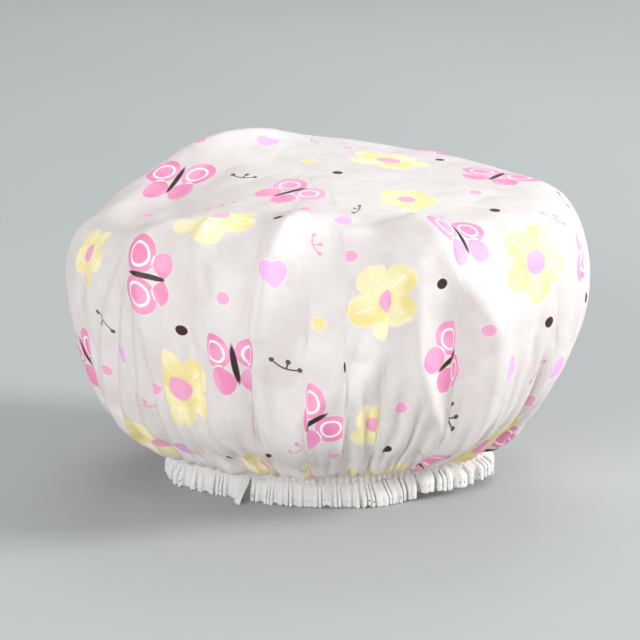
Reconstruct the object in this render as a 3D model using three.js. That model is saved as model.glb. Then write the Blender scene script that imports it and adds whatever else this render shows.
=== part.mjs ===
// A bouffant shower cap, standing on its lace as it does on a shelf. One disc of thin plastic film is
// gathered into an elastic hem, and a ruffled lace hangs below the film's edge.
// Millimetres, +Z up, the origin on the shelf under the middle of the cap, the front towards -Y.
import * as THREE from "three";
import { mergeVertices } from "three/addons/utils/BufferGeometryUtils.js";

// The crown, as the puffed film stands
const CROWN_HALF_WIDTH = 125;
const CROWN_FRONT_DEPTH = 95;
const CROWN_BACK_DEPTH = 105;
const CROWN_HEIGHT = 152;
const CROWN_APEX = 148;
const FILM_WALL = 0.8;

// The head opening, measured to the outside of the film's hem
const OPENING_HALF_WIDTH = 76;
const OPENING_FRONT_DEPTH = 51;
const OPENING_BACK_DEPTH = 70;
const DENT_DEPTH = 6;

// Folds and gathers in the film
const FOLD_RISE = 10;
const FOLD_SPREAD = 32;
const GATHER_DEPTH = 1.4;

// The lace: a flat heading that is sewn on, and a pleated frill below it
const FRILL_DROP = 8;
const HEADING_HEIGHT = 9;
const LACE_THICKNESS = 0.8;
const PLEAT_DEPTH = 2.2;
const FRILL_FLARE = 2;
const LACE_END_GAP = 1;
const TAB_LENGTH = 13;
const TAB_FLARE = 7;

// The elastic inside the hem, its lapped ends and their tack
const ELASTIC_WIDTH = 8;
const ELASTIC_THICKNESS = 1;
const ELASTIC_INSET = 1;
const ELASTIC_LAP = 12;
const BARTACK_WIDTH = 4;
const BARTACK_HEIGHT = 3.4;
const BARTACK_CLEARANCE = 0.9;

// The hem seam: a zigzag through film, lace and elastic
const HEM_LAP = 5;
const SEAM_HALF_SWING = 1;
const THREAD_RADIUS = 0.25;
const LAYER_GAP = 0.3;

// Counts: straight sides of the ring, pleat steps in each, legs of the tack, steps of each of its
// turns, rounds of corner cutting
const RING_SIDES = 52;
const STEPS_PER_SIDE = 4;
const BARTACK_LEGS = 5;
const TURN_STEPS = 4;
const SMOOTHING_ROUNDS = 4;

// Heights and offsets that follow from the sizes above. An offset runs from the outside of the film's
// hem, and is negative towards the head.
const HEADING_TOP = FRILL_DROP + HEADING_HEIGHT;
const HEM_LOW = HEADING_TOP - HEM_LAP;
const SEAM_HEIGHT = HEADING_TOP - HEM_LAP / 2;
const ELASTIC_TOP = HEADING_TOP - ELASTIC_INSET;
const LACE_OUTER = -FILM_WALL - LAYER_GAP;
const LACE_INNER = LACE_OUTER - LACE_THICKNESS;
const ELASTIC_OUTER = LACE_INNER - LAYER_GAP;
const ELASTIC_INNER = ELASTIC_OUTER - ELASTIC_THICKNESS;
const LAP_SHIFT = -(ELASTIC_THICKNESS + LAYER_GAP);
const NEEDLE_OFFSET = LAYER_GAP + THREAD_RADIUS;
const BOBBIN_OFFSET = ELASTIC_INNER - LAYER_GAP - THREAD_RADIUS;

// The crown's profile at each eighth of a turn from +X by way of +Y: shoulder, belly and low point, each
// as a share of the crown's reach there and of its height.
const PROFILE_SHARES = [
  [0.92, 0.92, 0.99, 0.61, 0.85, 0.27],
  [0.88, 0.94, 1.0, 0.62, 0.85, 0.26],
  [0.86, 0.99, 1.02, 0.6, 0.86, 0.26],
  [0.74, 1.05, 1.01, 0.62, 0.88, 0.26],
  [0.98, 0.83, 0.94, 0.5, 0.87, 0.22],
  [0.94, 0.9, 1.0, 0.54, 0.9, 0.22],
  [0.92, 0.91, 1.0, 0.54, 0.92, 0.24],
  [0.94, 0.9, 1.0, 0.58, 0.865, 0.25],
];
const TOP_REACH_SHARE = 0.55;
const TOP_BLEND_SHARE = 0.6;

// How far down the profile, from the apex to the hem, each ring of the film's mesh lies.
const ROW_SHARES = [0.13, 0.25, 0.34, 0.42, 0.5, 0.58, 0.66, 0.74, 0.82, 0.89, 0.95, 1];

// The folds. Each route goes down the crown by points of (share of a turn, share of the profile). The
// rise is a share of FOLD_RISE, less than zero for a valley, and the two spreads are shares of
// FOLD_SPREAD, on the side of the smaller and of the larger turn.
const FOLD_SHARES = [
  { route: [[0.833, 0.4], [0.803, 0.46], [0.775, 0.55], [0.75, 0.73]], rise: 0.9, spreads: [0.9, 0.6] },
  { route: [[0.833, 0.4], [0.847, 0.48], [0.872, 0.58], [0.872, 0.82]], rise: 0.9, spreads: [0.6, 1] },
  { route: [[0.816, 0.47], [0.816, 0.62], [0.83, 0.73], [0.856, 0.83]], rise: 0.6, spreads: [0.5, 0.5] },
  { route: [[0.793, 0.52], [0.79, 0.72]], rise: -0.4, spreads: [0.5, 0.5] },
  { route: [[0.843, 0.5], [0.85, 0.74]], rise: -0.5, spreads: [0.5, 0.5] },
  { route: [[0.714, 0.34], [0.703, 0.43], [0.7, 0.55]], rise: 0.8, spreads: [0.8, 0.5] },
  { route: [[0.731, 0.39], [0.733, 0.51]], rise: -0.4, spreads: [0.5, 0.6] },
  { route: [[0.678, 0.59], [0.678, 0.76]], rise: 0.6, spreads: [0.6, 0.7] },
  { route: [[0.644, 0.38], [0.656, 0.49]], rise: 0.6, spreads: [0.6, 0.6] },
  { route: [[0.6, 0.43], [0.617, 0.58]], rise: 0.7, spreads: [0.7, 0.6] },
  { route: [[0.757, 0.66], [0.725, 0.74], [0.726, 0.84]], rise: 0.6, spreads: [0.6, 0.6] },
  { route: [[0.5, 0.5], [0.53, 0.7]], rise: 0.4, spreads: [0.9, 0.8] },
  { route: [[0.94, 0.5], [0.93, 0.78]], rise: 0.6, spreads: [0.8, 0.9] },
  { route: [[0.03, 0.48], [0.01, 0.72]], rise: 0.6, spreads: [0.7, 0.7] },
  { route: [[0.1, 0.5], [0.12, 0.74]], rise: -0.4, spreads: [0.7, 0.6] },
  { route: [[0.15, 0.47], [0.165, 0.62], [0.155, 0.82]], rise: 0.9, spreads: [0.8, 0.6] },
  { route: [[0.22, 0.5], [0.215, 0.72]], rise: -0.4, spreads: [0.6, 0.5] },
  { route: [[0.27, 0.46], [0.255, 0.6], [0.27, 0.8]], rise: 0.9, spreads: [0.6, 0.8] },
  { route: [[0.33, 0.5], [0.335, 0.76]], rise: -0.4, spreads: [0.6, 0.6] },
  { route: [[0.37, 0.5], [0.385, 0.72]], rise: 0.8, spreads: [0.7, 0.7] },
  { route: [[0.44, 0.52], [0.435, 0.8]], rise: 0.6, spreads: [0.7, 0.7] },
];
const FOLD_FADE_SHARE = 0.1;
const CREST_POWER = 1.3;

// Where the opening's outline dents inwards: turn share, half-width as a share of a turn, share of depth.
const DENT_SHARES = [
  { turn: 0.868, half: 0.07, depth: 1 },
  { turn: 0.61, half: 0.08, depth: 0.7 },
  { turn: 0.3, half: 0.06, depth: 0.5 },
];

// How deep the pleats are at each eighth of a turn, as shares of PLEAT_DEPTH.
const PLEAT_SHARES = [[1], [0.8], [0.9], [0.7], [0.8], [0.5], [0.6], [1]];
const GATHER_FROM_SHARE = 0.8;
const LACE_JOIN_SHARE = 0.632;
const ELASTIC_JOIN_SHARE = 0.25;
const LAP_RAMP_SHARE = 0.9;

const film = new THREE.MeshStandardMaterial({
  color: 0xf2ebea, roughness: 0.3, metalness: 0, transparent: true, opacity: 0.94,
});
const lace = new THREE.MeshStandardMaterial({ color: 0xf4f3f1, roughness: 0.9, metalness: 0 });
const elastic = new THREE.MeshStandardMaterial({ color: 0xeeece6, roughness: 0.85, metalness: 0 });
const thread = new THREE.MeshStandardMaterial({ color: 0xfaf9f6, roughness: 0.6, metalness: 0 });

const clampShare = (value) => THREE.MathUtils.clamp(value, 0, 1);
const wrap = (value, span) => THREE.MathUtils.euclideanModulo(value, span);

// A smooth closed curve through the rows of a table that are spread evenly over one turn.
function aroundTurn(rows, turn) {
  const place = wrap(turn, 1) * rows.length;
  const first = Math.floor(place);
  const row = (step) => rows[wrap(first + step, rows.length)];
  const f = place - first;
  return rows[0].map((_, k) => {
    const [a, b, c, d] = [row(-1)[k], row(0)[k], row(1)[k], row(2)[k]];
    const bend = (2 * a - 5 * b + 4 * c - d) * f ** 2 + (3 * b - a - 3 * c + d) * f ** 3;
    return b + 0.5 * ((c - a) * f + bend);
  });
}

// How far an egg-shaped outline reaches in the direction of a turn.
function eggReach(turn, halfWidth, frontDepth, backDepth) {
  const angle = turn * 2 * Math.PI;
  const depth = Math.sin(angle) < 0 ? frontDepth : backDepth;
  return 1 / Math.hypot(Math.cos(angle) / halfWidth, Math.sin(angle) / depth);
}

// The difference of two turns, the short way round, between -0.5 and 0.5.
const turnBetween = (from, to) => wrap(to - from + 0.5, 1) - 0.5;

// The opening's reach: the egg, less each dent as a cosine hump.
function openingReach(turn) {
  const egg = eggReach(turn, OPENING_HALF_WIDTH, OPENING_FRONT_DEPTH, OPENING_BACK_DEPTH);
  return DENT_SHARES.reduce((reach, dent) => {
    const away = clampShare(Math.abs(turnBetween(dent.turn, turn)) / dent.half);
    return reach - DENT_DEPTH * dent.depth * 0.5 * (1 + Math.cos(Math.PI * away));
  }, egg);
}

// Corner cutting: each round replaces a corner by two points at a quarter and three quarters.
function cutCorners(line, rounds) {
  let points = line;
  for (let round = 0; round < rounds; round += 1) {
    const cut = [points[0]];
    for (let i = 0; i + 1 < points.length; i += 1) {
      cut.push(points[i].clone().lerp(points[i + 1], 0.25), points[i].clone().lerp(points[i + 1], 0.75));
    }
    cut.push(points[points.length - 1]);
    points = cut;
  }
  return points;
}

// The crown's profile in the direction of a turn: x is the reach and y the height, from apex to hem.
function profile(turn) {
  const [shoulderReach, shoulderHeight, bellyReach, bellyHeight, lowReach, lowHeight] =
    aroundTurn(PROFILE_SHARES, turn);
  const reach = eggReach(turn, CROWN_HALF_WIDTH, CROWN_FRONT_DEPTH, CROWN_BACK_DEPTH);
  const shoulder = shoulderHeight * CROWN_HEIGHT;
  const line = [
    new THREE.Vector2(0, CROWN_APEX),
    new THREE.Vector2(TOP_REACH_SHARE * reach, THREE.MathUtils.lerp(CROWN_APEX, shoulder, TOP_BLEND_SHARE)),
    new THREE.Vector2(shoulderReach * reach, shoulder),
    new THREE.Vector2(bellyReach * reach, bellyHeight * CROWN_HEIGHT),
    new THREE.Vector2(lowReach * reach, lowHeight * CROWN_HEIGHT),
    new THREE.Vector2(openingReach(turn), HEADING_TOP),
  ];
  return cutCorners(line, SMOOTHING_ROUNDS);
}

// A point of a profile and its outward direction, at a share of the profile's length.
function alongProfile(line, share) {
  const lengths = [0];
  for (let i = 1; i < line.length; i += 1) lengths.push(lengths[i - 1] + line[i].distanceTo(line[i - 1]));
  const target = share * lengths[lengths.length - 1];
  const next = Math.max(1, lengths.findIndex((length) => length >= target - Number.EPSILON * target));
  const f = (target - lengths[next - 1]) / (lengths[next] - lengths[next - 1]);
  const ahead = line[next].clone().sub(line[next - 1]).normalize();
  const outward = new THREE.Vector2(-ahead.y, ahead.x);
  return { point: line[next - 1].clone().lerp(line[next], f), outward };
}

// How far the folds lift the film at a turn and a share of the profile, where the crown reaches so far.
function foldLift(turn, share, reach) {
  return FOLD_SHARES.reduce((lift, { route, rise, spreads }) => {
    const [top, bottom] = [route[0][1], route[route.length - 1][1]];
    const fade = (share - top + FOLD_FADE_SHARE) / (bottom - top + 2 * FOLD_FADE_SHARE);
    if (fade <= 0 || fade >= 1) return lift;
    const held = THREE.MathUtils.clamp(share, top, bottom);
    const leg = Math.max(1, route.findIndex(([, down]) => down >= held));
    const [[turnA, downA], [turnB, downB]] = [route[leg - 1], route[leg]];
    const crest = THREE.MathUtils.mapLinear(held, downA, downB, turnA, turnB);
    const aside = turnBetween(crest, turn) * 2 * Math.PI * reach;
    const spread = FOLD_SPREAD * (aside < 0 ? spreads[0] : spreads[1]);
    const slope = clampShare(1 - Math.abs(aside) / spread) ** CREST_POWER;
    return lift + FOLD_RISE * rise * slope * Math.sqrt(Math.sin(Math.PI * fade));
  }, 0);
}

// One corner of the film's mesh, on its outer face.
function filmPoint(column, share) {
  const turn = column / RING_SIDES;
  const { point, outward } = alongProfile(profile(turn), share);
  const gather = Math.sin(Math.PI * clampShare((share - GATHER_FROM_SHARE) / (1 - GATHER_FROM_SHARE)));
  const lift = foldLift(turn, share, point.x) + (column % 2 ? 1 : -1) * GATHER_DEPTH * gather;
  point.addScaledVector(outward, lift);
  const angle = turn * 2 * Math.PI;
  return new THREE.Vector3(point.x * Math.cos(angle), point.x * Math.sin(angle), point.y);
}

// The opening's ring is a polygon. Its corners carry the offsets outwards or inwards.
const ringCorners = Array.from({ length: RING_SIDES }, (_, i) => {
  const turn = i / RING_SIDES;
  const angle = turn * 2 * Math.PI;
  return new THREE.Vector2(Math.cos(angle), Math.sin(angle)).multiplyScalar(openingReach(turn));
});
const ringMitres = ringCorners.map((corner, i) => {
  const before = corner.clone().sub(ringCorners[wrap(i - 1, RING_SIDES)]).normalize();
  const after = ringCorners[wrap(i + 1, RING_SIDES)].clone().sub(corner).normalize();
  const along = before.add(after).normalize();
  return new THREE.Vector2(along.y, -along.x).divideScalar(along.dot(after));
});
const ringLength = ringCorners.reduce(
  (sum, corner, i) => sum + corner.distanceTo(ringCorners[wrap(i + 1, RING_SIDES)]), 0,
);
const sideLength = ringLength / RING_SIDES;

// A point on the ring: how many sides round, how far out of the hem's outer face, and how high.
function ringPoint(sides, offset, height) {
  const first = Math.floor(sides);
  const [a, b] = [first, first + 1].map((i) =>
    ringCorners[wrap(i, RING_SIDES)].clone().addScaledVector(ringMitres[wrap(i, RING_SIDES)], offset));
  const flat = a.lerp(b, sides - first);
  return new THREE.Vector3(flat.x, flat.y, height);
}

// A closed body from rows of corners that all have the same count. Each row is a loop, seen from the
// last row anticlockwise, and closed rows go round to the first again. Else both ends get a cap. The
// loop's second half runs back along its first, so its cells are split the other way: where a thin
// strip twists, both of its faces then bend along the same lines and never cross.
function bodyFromLoops(loops, closed) {
  const count = loops[0].length;
  const positions = loops.flat().flatMap((p) => [p.x, p.y, p.z]);
  const faces = [];
  const quad = (a, b, c, d) => faces.push(a, b, c, a, c, d);
  const bands = closed ? loops.length : loops.length - 1;
  for (let i = 0; i < bands; i += 1) {
    const [here, there] = [i * count, ((i + 1) % loops.length) * count];
    for (let k = 0; k < count; k += 1) {
      const next = (k + 1) % count;
      const cell = [here + k, here + next, there + next, there + k];
      if (k >= count / 2) cell.push(cell.shift());
      quad(...cell);
    }
  }
  if (!closed) {
    const last = (loops.length - 1) * count;
    for (let k = 0; k + 1 < count / 2; k += 1) {
      quad(k, count - 1 - k, count - 2 - k, k + 1);
      quad(last + k, last + k + 1, last + count - 2 - k, last + count - 1 - k);
    }
  }
  const geometry = new THREE.BufferGeometry();
  geometry.setAttribute("position", new THREE.Float32BufferAttribute(positions, 3));
  geometry.setIndex(faces);
  return geometry;
}

// The film: an outer face from apex to hem, and an inner face one wall inside it.
function crownFilm() {
  const columns = Array.from({ length: RING_SIDES }, (_, i) => i);
  const outerRows = ROW_SHARES.map((share) => columns.map((column) => filmPoint(column, share)));
  outerRows[outerRows.length - 1] = columns.map((column) => ringPoint(column, 0, HEADING_TOP));
  outerRows.push(columns.map((column) => ringPoint(column, 0, HEM_LOW)));
  const apex = new THREE.Vector3(0, 0, CROWN_APEX);

  // The outer face alone gives each corner its normal.
  const skin = new THREE.BufferGeometry();
  const corners = [apex, ...outerRows.flat()];
  const skinFaces = [];
  const at = (row, column) => 1 + row * RING_SIDES + (column % RING_SIDES);
  const bulge = (i, j) => corners[i].clone().add(corners[j]).length();
  for (const column of columns) {
    skinFaces.push(0, at(0, column), at(0, column + 1));
    for (let row = 0; row + 1 < outerRows.length; row += 1) {
      const [a, b] = [at(row, column), at(row + 1, column)];
      const [c, d] = [at(row + 1, column + 1), at(row, column + 1)];
      // Each cell is split so that its crease stands out, as taut film does.
      if (bulge(a, c) > bulge(b, d)) skinFaces.push(a, b, c, a, c, d);
      else skinFaces.push(a, b, d, b, c, d);
    }
  }
  const positions = corners.flatMap((p) => [p.x, p.y, p.z]);
  skin.setAttribute("position", new THREE.Float32BufferAttribute(positions, 3));
  skin.setIndex(skinFaces);
  skin.computeVertexNormals();
  const normals = skin.getAttribute("normal");
  const hemRows = [outerRows.length - 2, outerRows.length - 1];
  const inner = corners.map((corner, i) => {
    const row = Math.floor((i - 1) / RING_SIDES);
    if (i > 0 && hemRows.includes(row)) return ringPoint((i - 1) % RING_SIDES, -FILM_WALL, corner.z);
    return corner.clone().addScaledVector(new THREE.Vector3().fromBufferAttribute(normals, i), -FILM_WALL);
  });

  const shift = corners.length;
  const faces = [...skinFaces];
  for (let i = 0; i < skinFaces.length; i += 3) {
    faces.push(skinFaces[i] + shift, skinFaces[i + 2] + shift, skinFaces[i + 1] + shift);
  }
  const rim = outerRows.length - 1;
  for (const column of columns) {
    const [a, b] = [at(rim, column), at(rim, column + 1)];
    faces.push(a, a + shift, b + shift, a, b + shift, b);
  }
  const shell = new THREE.BufferGeometry();
  const points = [...corners, ...inner].flatMap((p) => [p.x, p.y, p.z]);
  shell.setAttribute("position", new THREE.Float32BufferAttribute(points, 3));
  shell.setIndex(faces);
  return mergeVertices(shell);
}

// The lace: one strip round the opening with its ends side by side, the heading upright and the frill
// swinging in and out, more so at the turned-out tab where the strip ends.
function laceTrim() {
  const start = LACE_JOIN_SHARE * RING_SIDES + LACE_END_GAP / sideLength;
  const end = LACE_JOIN_SHARE * RING_SIDES + RING_SIDES;
  const steps = RING_SIDES * STEPS_PER_SIDE;
  const tabSides = TAB_LENGTH / sideLength;
  const loops = Array.from({ length: steps + 1 }, (_, step) => {
    const place = THREE.MathUtils.lerp(start, end, step / steps);
    const [share] = aroundTurn(PLEAT_SHARES, place / RING_SIDES);
    const tab = THREE.MathUtils.smoothstep(place, end - tabSides, end);
    const swing = (step % 2 ? 1 : -1) * PLEAT_DEPTH * share;
    const foot = FRILL_FLARE + TAB_FLARE * tab + swing;
    return [
      ringPoint(place, LACE_OUTER, HEADING_TOP),
      ringPoint(place, LACE_OUTER, FRILL_DROP),
      ringPoint(place, LACE_OUTER + foot, 0),
      ringPoint(place, LACE_INNER + foot, 0),
      ringPoint(place, LACE_INNER, FRILL_DROP),
      ringPoint(place, LACE_INNER, HEADING_TOP),
    ];
  });
  return bodyFromLoops(loops, false);
}

// How far the elastic is shifted inwards, as a share of the lap's shift, where its end comes to lie on
// its start. Places are counted in sides from the start.
const lapSides = ELASTIC_LAP / sideLength;
const lapShare = (sides) => clampShare((sides - RING_SIDES + 1) / LAP_RAMP_SHARE);

// The elastic: a flat strip once round, its end lapped inside its start.
function elasticBand() {
  const start = ELASTIC_JOIN_SHARE * RING_SIDES;
  const end = RING_SIDES + lapSides;
  const places = Array.from({ length: Math.ceil(end) }, (_, i) => i);
  places.splice(RING_SIDES, 0, RING_SIDES - 1 + LAP_RAMP_SHARE);
  places.push(end);
  const loops = places.map((sides) => {
    const shift = LAP_SHIFT * lapShare(sides);
    return [
      ringPoint(start + sides, ELASTIC_OUTER + shift, ELASTIC_TOP),
      ringPoint(start + sides, ELASTIC_OUTER + shift, ELASTIC_TOP - ELASTIC_WIDTH),
      ringPoint(start + sides, ELASTIC_INNER + shift, ELASTIC_TOP - ELASTIC_WIDTH),
      ringPoint(start + sides, ELASTIC_INNER + shift, ELASTIC_TOP),
    ];
  });
  return bodyFromLoops(loops, false);
}

// A thread's section at a corner of its zigzag: a diamond, stretched upright by the mitre.
function threadLoop(place, offset, height, stretch) {
  return [
    ringPoint(place, offset, height + THREAD_RADIUS * stretch),
    ringPoint(place, offset + THREAD_RADIUS, height),
    ringPoint(place, offset, height - THREAD_RADIUS * stretch),
    ringPoint(place, offset - THREAD_RADIUS, height),
  ];
}

// A zigzag thread all round the hem. offsetAt gives its offset at a number of sides.
function seamThread(offsetAt) {
  const steps = RING_SIDES * STEPS_PER_SIDE;
  const leg = sideLength / STEPS_PER_SIDE;
  const stretch = Math.hypot(leg, 2 * SEAM_HALF_SWING) / leg;
  const loops = Array.from({ length: steps }, (_, step) => {
    const place = step / STEPS_PER_SIDE;
    const height = SEAM_HEIGHT + (step % 2 ? 1 : -1) * SEAM_HALF_SWING;
    return threadLoop(place, offsetAt(place), height, stretch);
  });
  return bodyFromLoops(loops, true);
}

// The bobbin thread lies on the elastic and steps over its lap.
function bobbinOffset(place) {
  const sides = wrap(place - ELASTIC_JOIN_SHARE * RING_SIDES, RING_SIDES);
  const landing = lapSides + 1 / STEPS_PER_SIDE;
  const share = sides < RING_SIDES / 2
    ? 1 - THREE.MathUtils.smoothstep(sides, landing, landing + 1)
    : lapShare(sides);
  return BOBBIN_OFFSET + LAP_SHIFT * share;
}

// The tack: close stitches up and down across the middle of the lap, below the seam. It is one thread,
// which turns over into each next leg by half a circle.
function elasticBartack() {
  const middle = ELASTIC_JOIN_SHARE * RING_SIDES + lapSides / 2;
  const centre = SEAM_HEIGHT - SEAM_HALF_SWING - BARTACK_CLEARANCE - BARTACK_HEIGHT / 2;
  const pitch = BARTACK_WIDTH / BARTACK_LEGS;
  const turn = pitch / 2;
  const straight = BARTACK_HEIGHT / 2 - turn - THREAD_RADIUS;

  // A section across the thread: its place along the hem, its height, and its left in those two.
  const section = (along, height, left) => [1, 0, -1, 0].map((side, corner) => {
    const reach = side * THREAD_RADIUS;
    const out = (corner % 2 ? 2 - corner : 0) * THREAD_RADIUS;
    const place = middle + (along + reach * left.x) / sideLength;
    return ringPoint(place, BOBBIN_OFFSET + LAP_SHIFT + out, centre + height + reach * left.y);
  });
  const legAt = (leg) => (leg + 0.5) * pitch - BARTACK_WIDTH / 2;
  const end = legAt(BARTACK_LEGS - 1);
  const loops = [section(legAt(0), -straight, new THREE.Vector2(-1, 0))];
  for (let leg = 0; leg + 1 < BARTACK_LEGS; leg += 1) {
    const way = leg % 2 ? -1 : 1;
    for (let step = 0; step <= TURN_STEPS; step += 1) {
      const angle = (Math.PI * step) / TURN_STEPS;
      const [aside, ahead] = [Math.cos(angle), Math.sin(angle)];
      const along = legAt(leg) + turn * (1 - aside);
      loops.push(section(along, way * (straight + turn * ahead), new THREE.Vector2(-way * aside, ahead)));
    }
  }
  const lastWay = BARTACK_LEGS % 2 ? 1 : -1;
  loops.push(section(end, lastWay * straight, new THREE.Vector2(-lastWay, 0)));
  return bodyFromLoops(loops, false);
}

const pieces = [
  ["crown_film", crownFilm(), film],
  ["lace_trim", laceTrim(), lace],
  ["elastic_band", elasticBand(), elastic],
  ["needle_thread", seamThread(() => NEEDLE_OFFSET), thread],
  ["bobbin_thread", seamThread(bobbinOffset), thread],
  ["elastic_bartack", elasticBartack(), thread],
];

const sewn = new THREE.Group();
for (const [name, geometry, material] of pieces) {
  const mesh = new THREE.Mesh(geometry, material);
  mesh.name = name;
  sewn.add(mesh);
}

// The shelf's origin lies under the middle of the cap's outline.
const middle = new THREE.Box3().setFromObject(sewn, true).getCenter(new THREE.Vector3());
sewn.position.set(-middle.x, -middle.y, 0);

const showerCap = new THREE.Group();
showerCap.add(sewn);

export default showerCap;
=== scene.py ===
# %% [markdown]
# A bouffant shower cap stands on its lace, crown up. The maker cuts one disc of thin milky film, gathers
# its edge to under a third of its length, and sews it to a ruffled lace with an elastic inside the hem.
# This lesson rebuilds the cap piece by piece round a fixed frame of solids, so the sizes here repeat the
# solids' own driving sizes, in metres, and every piece ends up in the space that its solid holds.

# %% The frame, and the sizes that the solids were made from
from functools import reduce

import bpy
import numpy as np
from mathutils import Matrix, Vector


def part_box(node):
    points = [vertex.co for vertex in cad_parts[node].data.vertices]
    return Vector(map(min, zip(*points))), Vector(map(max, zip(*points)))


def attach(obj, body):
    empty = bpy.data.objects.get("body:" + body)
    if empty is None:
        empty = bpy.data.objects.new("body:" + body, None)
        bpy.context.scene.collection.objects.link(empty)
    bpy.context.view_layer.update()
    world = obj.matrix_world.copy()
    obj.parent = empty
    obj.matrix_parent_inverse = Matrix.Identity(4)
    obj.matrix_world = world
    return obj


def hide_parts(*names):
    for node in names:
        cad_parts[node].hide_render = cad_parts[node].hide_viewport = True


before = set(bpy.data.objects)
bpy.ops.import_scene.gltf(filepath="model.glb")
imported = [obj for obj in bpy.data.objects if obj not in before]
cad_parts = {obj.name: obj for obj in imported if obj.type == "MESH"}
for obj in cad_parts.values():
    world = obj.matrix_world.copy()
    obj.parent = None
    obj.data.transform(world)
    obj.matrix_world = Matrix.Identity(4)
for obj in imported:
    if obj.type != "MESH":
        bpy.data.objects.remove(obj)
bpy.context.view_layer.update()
scene = bpy.context.scene

MM = 0.001
TURN = 2 * np.pi
CROWN_HALF_WIDTH, CROWN_FRONT_DEPTH, CROWN_BACK_DEPTH = 125 * MM, 95 * MM, 105 * MM
CROWN_HEIGHT, CROWN_APEX, FILM_WALL = 152 * MM, 148 * MM, 0.8 * MM
OPENING_HALF_WIDTH, OPENING_FRONT_DEPTH, OPENING_BACK_DEPTH = 76 * MM, 51 * MM, 70 * MM
DENT_DEPTH = 6 * MM
FOLD_RISE, FOLD_SPREAD = 10 * MM, 32 * MM
FRILL_DROP, HEADING_HEIGHT, LACE_THICKNESS = 8 * MM, 9 * MM, 0.8 * MM
PLEAT_DEPTH, FRILL_FLARE, TAB_LENGTH, TAB_FLARE = 2.2 * MM, 2 * MM, 13 * MM, 7 * MM
ELASTIC_WIDTH, ELASTIC_THICKNESS, ELASTIC_INSET, ELASTIC_LAP = 8 * MM, 1 * MM, 1 * MM, 12 * MM
HEM_LAP, SEAM_HALF_SWING, THREAD_RADIUS, LAYER_GAP = 5 * MM, 1 * MM, 0.25 * MM, 0.3 * MM

HEADING_TOP = FRILL_DROP + HEADING_HEIGHT
HEM_LOW = HEADING_TOP - HEM_LAP
SEAM_HEIGHT = HEADING_TOP - HEM_LAP / 2
ELASTIC_TOP = HEADING_TOP - ELASTIC_INSET
LACE_MIDDLE = -FILM_WALL - LAYER_GAP - LACE_THICKNESS / 2
ELASTIC_OUTER = -FILM_WALL - LACE_THICKNESS - 2 * LAYER_GAP
ELASTIC_INNER = ELASTIC_OUTER - ELASTIC_THICKNESS
print("hem from", HEM_LOW, "to", HEADING_TOP, "m; elastic's inner face at", round(ELASTIC_INNER, 5))

# %% [markdown]
# The camera comes first, because every later choice is judged in its view. The photograph looks down on
# the cap by about sixteen degrees through a long lens, so near and far parts differ little in size. The
# camera therefore stands well back, and its distance follows from how many pixels a metre fills.

# %% The camera
VIEW_DOWN = np.radians(16)
LENS_MM = 150
SENSOR_MM = 36
IMAGE_PX = 640
PX_PER_METRE = 2080
AIM = Vector((-0.005, 0, 0.076))

lens_px = IMAGE_PX * LENS_MM / SENSOR_MM
distance = lens_px / PX_PER_METRE
back_along_view = Vector((0, -np.cos(VIEW_DOWN), np.sin(VIEW_DOWN)))
camera_data = bpy.data.cameras.new("camera")
camera_data.lens = LENS_MM
camera_data.sensor_width = SENSOR_MM
camera = bpy.data.objects.new("camera", camera_data)
camera.location = AIM + distance * back_along_view
camera.rotation_euler = (np.pi / 2 - VIEW_DOWN, 0, 0)
scene.collection.objects.link(camera)
scene.camera = camera
print("camera distance", round(distance, 3), "m")

# %% [markdown]
# Two outlines shape the cap: the crown's egg and the smaller egg of the head opening, which dents inwards
# where the relaxed elastic buckles. Both are given as a reach from the middle in each direction. Places
# round the cap are shares of one turn, from +X by way of +Y, so the front is at three quarters.

# %% Outlines round the cap
# A dent's centre and half width are in turns, and its depth is a share of DENT_DEPTH.
DENT_SHARES = [(0.868, 0.07, 1), (0.61, 0.08, 0.7), (0.3, 0.06, 0.5)]


def facing(turn):
    """The direction in which a place round the cap lies: its parts along X and Y."""
    return np.cos(turn * TURN), np.sin(turn * TURN)


def unit(vectors):
    """Vectors of length one: each is divided by its own length."""
    return vectors / np.linalg.norm(vectors, axis=-1, keepdims=True)


def egg_reach(turn, half_width, front_depth, back_depth):
    """The reach of two half ellipses that share their width: one over the root of summed squares."""
    across, along = facing(turn)
    depth = np.where(along < 0, front_depth, back_depth)
    return 1 / np.hypot(across / half_width, along / depth)


def turn_between(start, end):
    """The difference of two turns, the short way round."""
    return (end - start + 0.5) % 1 - 0.5


def opening_reach(turn):
    """The opening's egg, less one cosine hump for each dent."""
    reach = egg_reach(turn, OPENING_HALF_WIDTH, OPENING_FRONT_DEPTH, OPENING_BACK_DEPTH)
    for centre, half, depth in DENT_SHARES:
        away = np.clip(abs(turn_between(centre, turn)) / half, 0, 1)
        reach = reach - DENT_DEPTH * depth * 0.5 * (1 + np.cos(np.pi * away))
    return reach


RING_SAMPLES = 4160
ring_turns = np.arange(RING_SAMPLES) / RING_SAMPLES
ring_line = opening_reach(ring_turns)[:, None] * np.stack(facing(ring_turns), 1)
ring_along = unit(np.roll(ring_line, -1, 0) - np.roll(ring_line, 1, 0))
ring_out = np.stack([ring_along[:, 1], -ring_along[:, 0]], 1)
ring_length = np.linalg.norm(np.roll(ring_line, -1, 0) - ring_line, axis=1).sum()
print("opening's length round the hem", round(ring_length, 4), "m")


def at_turn(values, turn):
    """Linear reading of a table that is spread evenly over one turn."""
    place = (np.asarray(turn) % 1) * len(values)
    first = np.floor(place).astype(int) % len(values)
    share = place - np.floor(place)
    share = share[..., None] if values.ndim > 1 else share
    return values[first] * (1 - share) + values[(first + 1) % len(values)] * share


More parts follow.
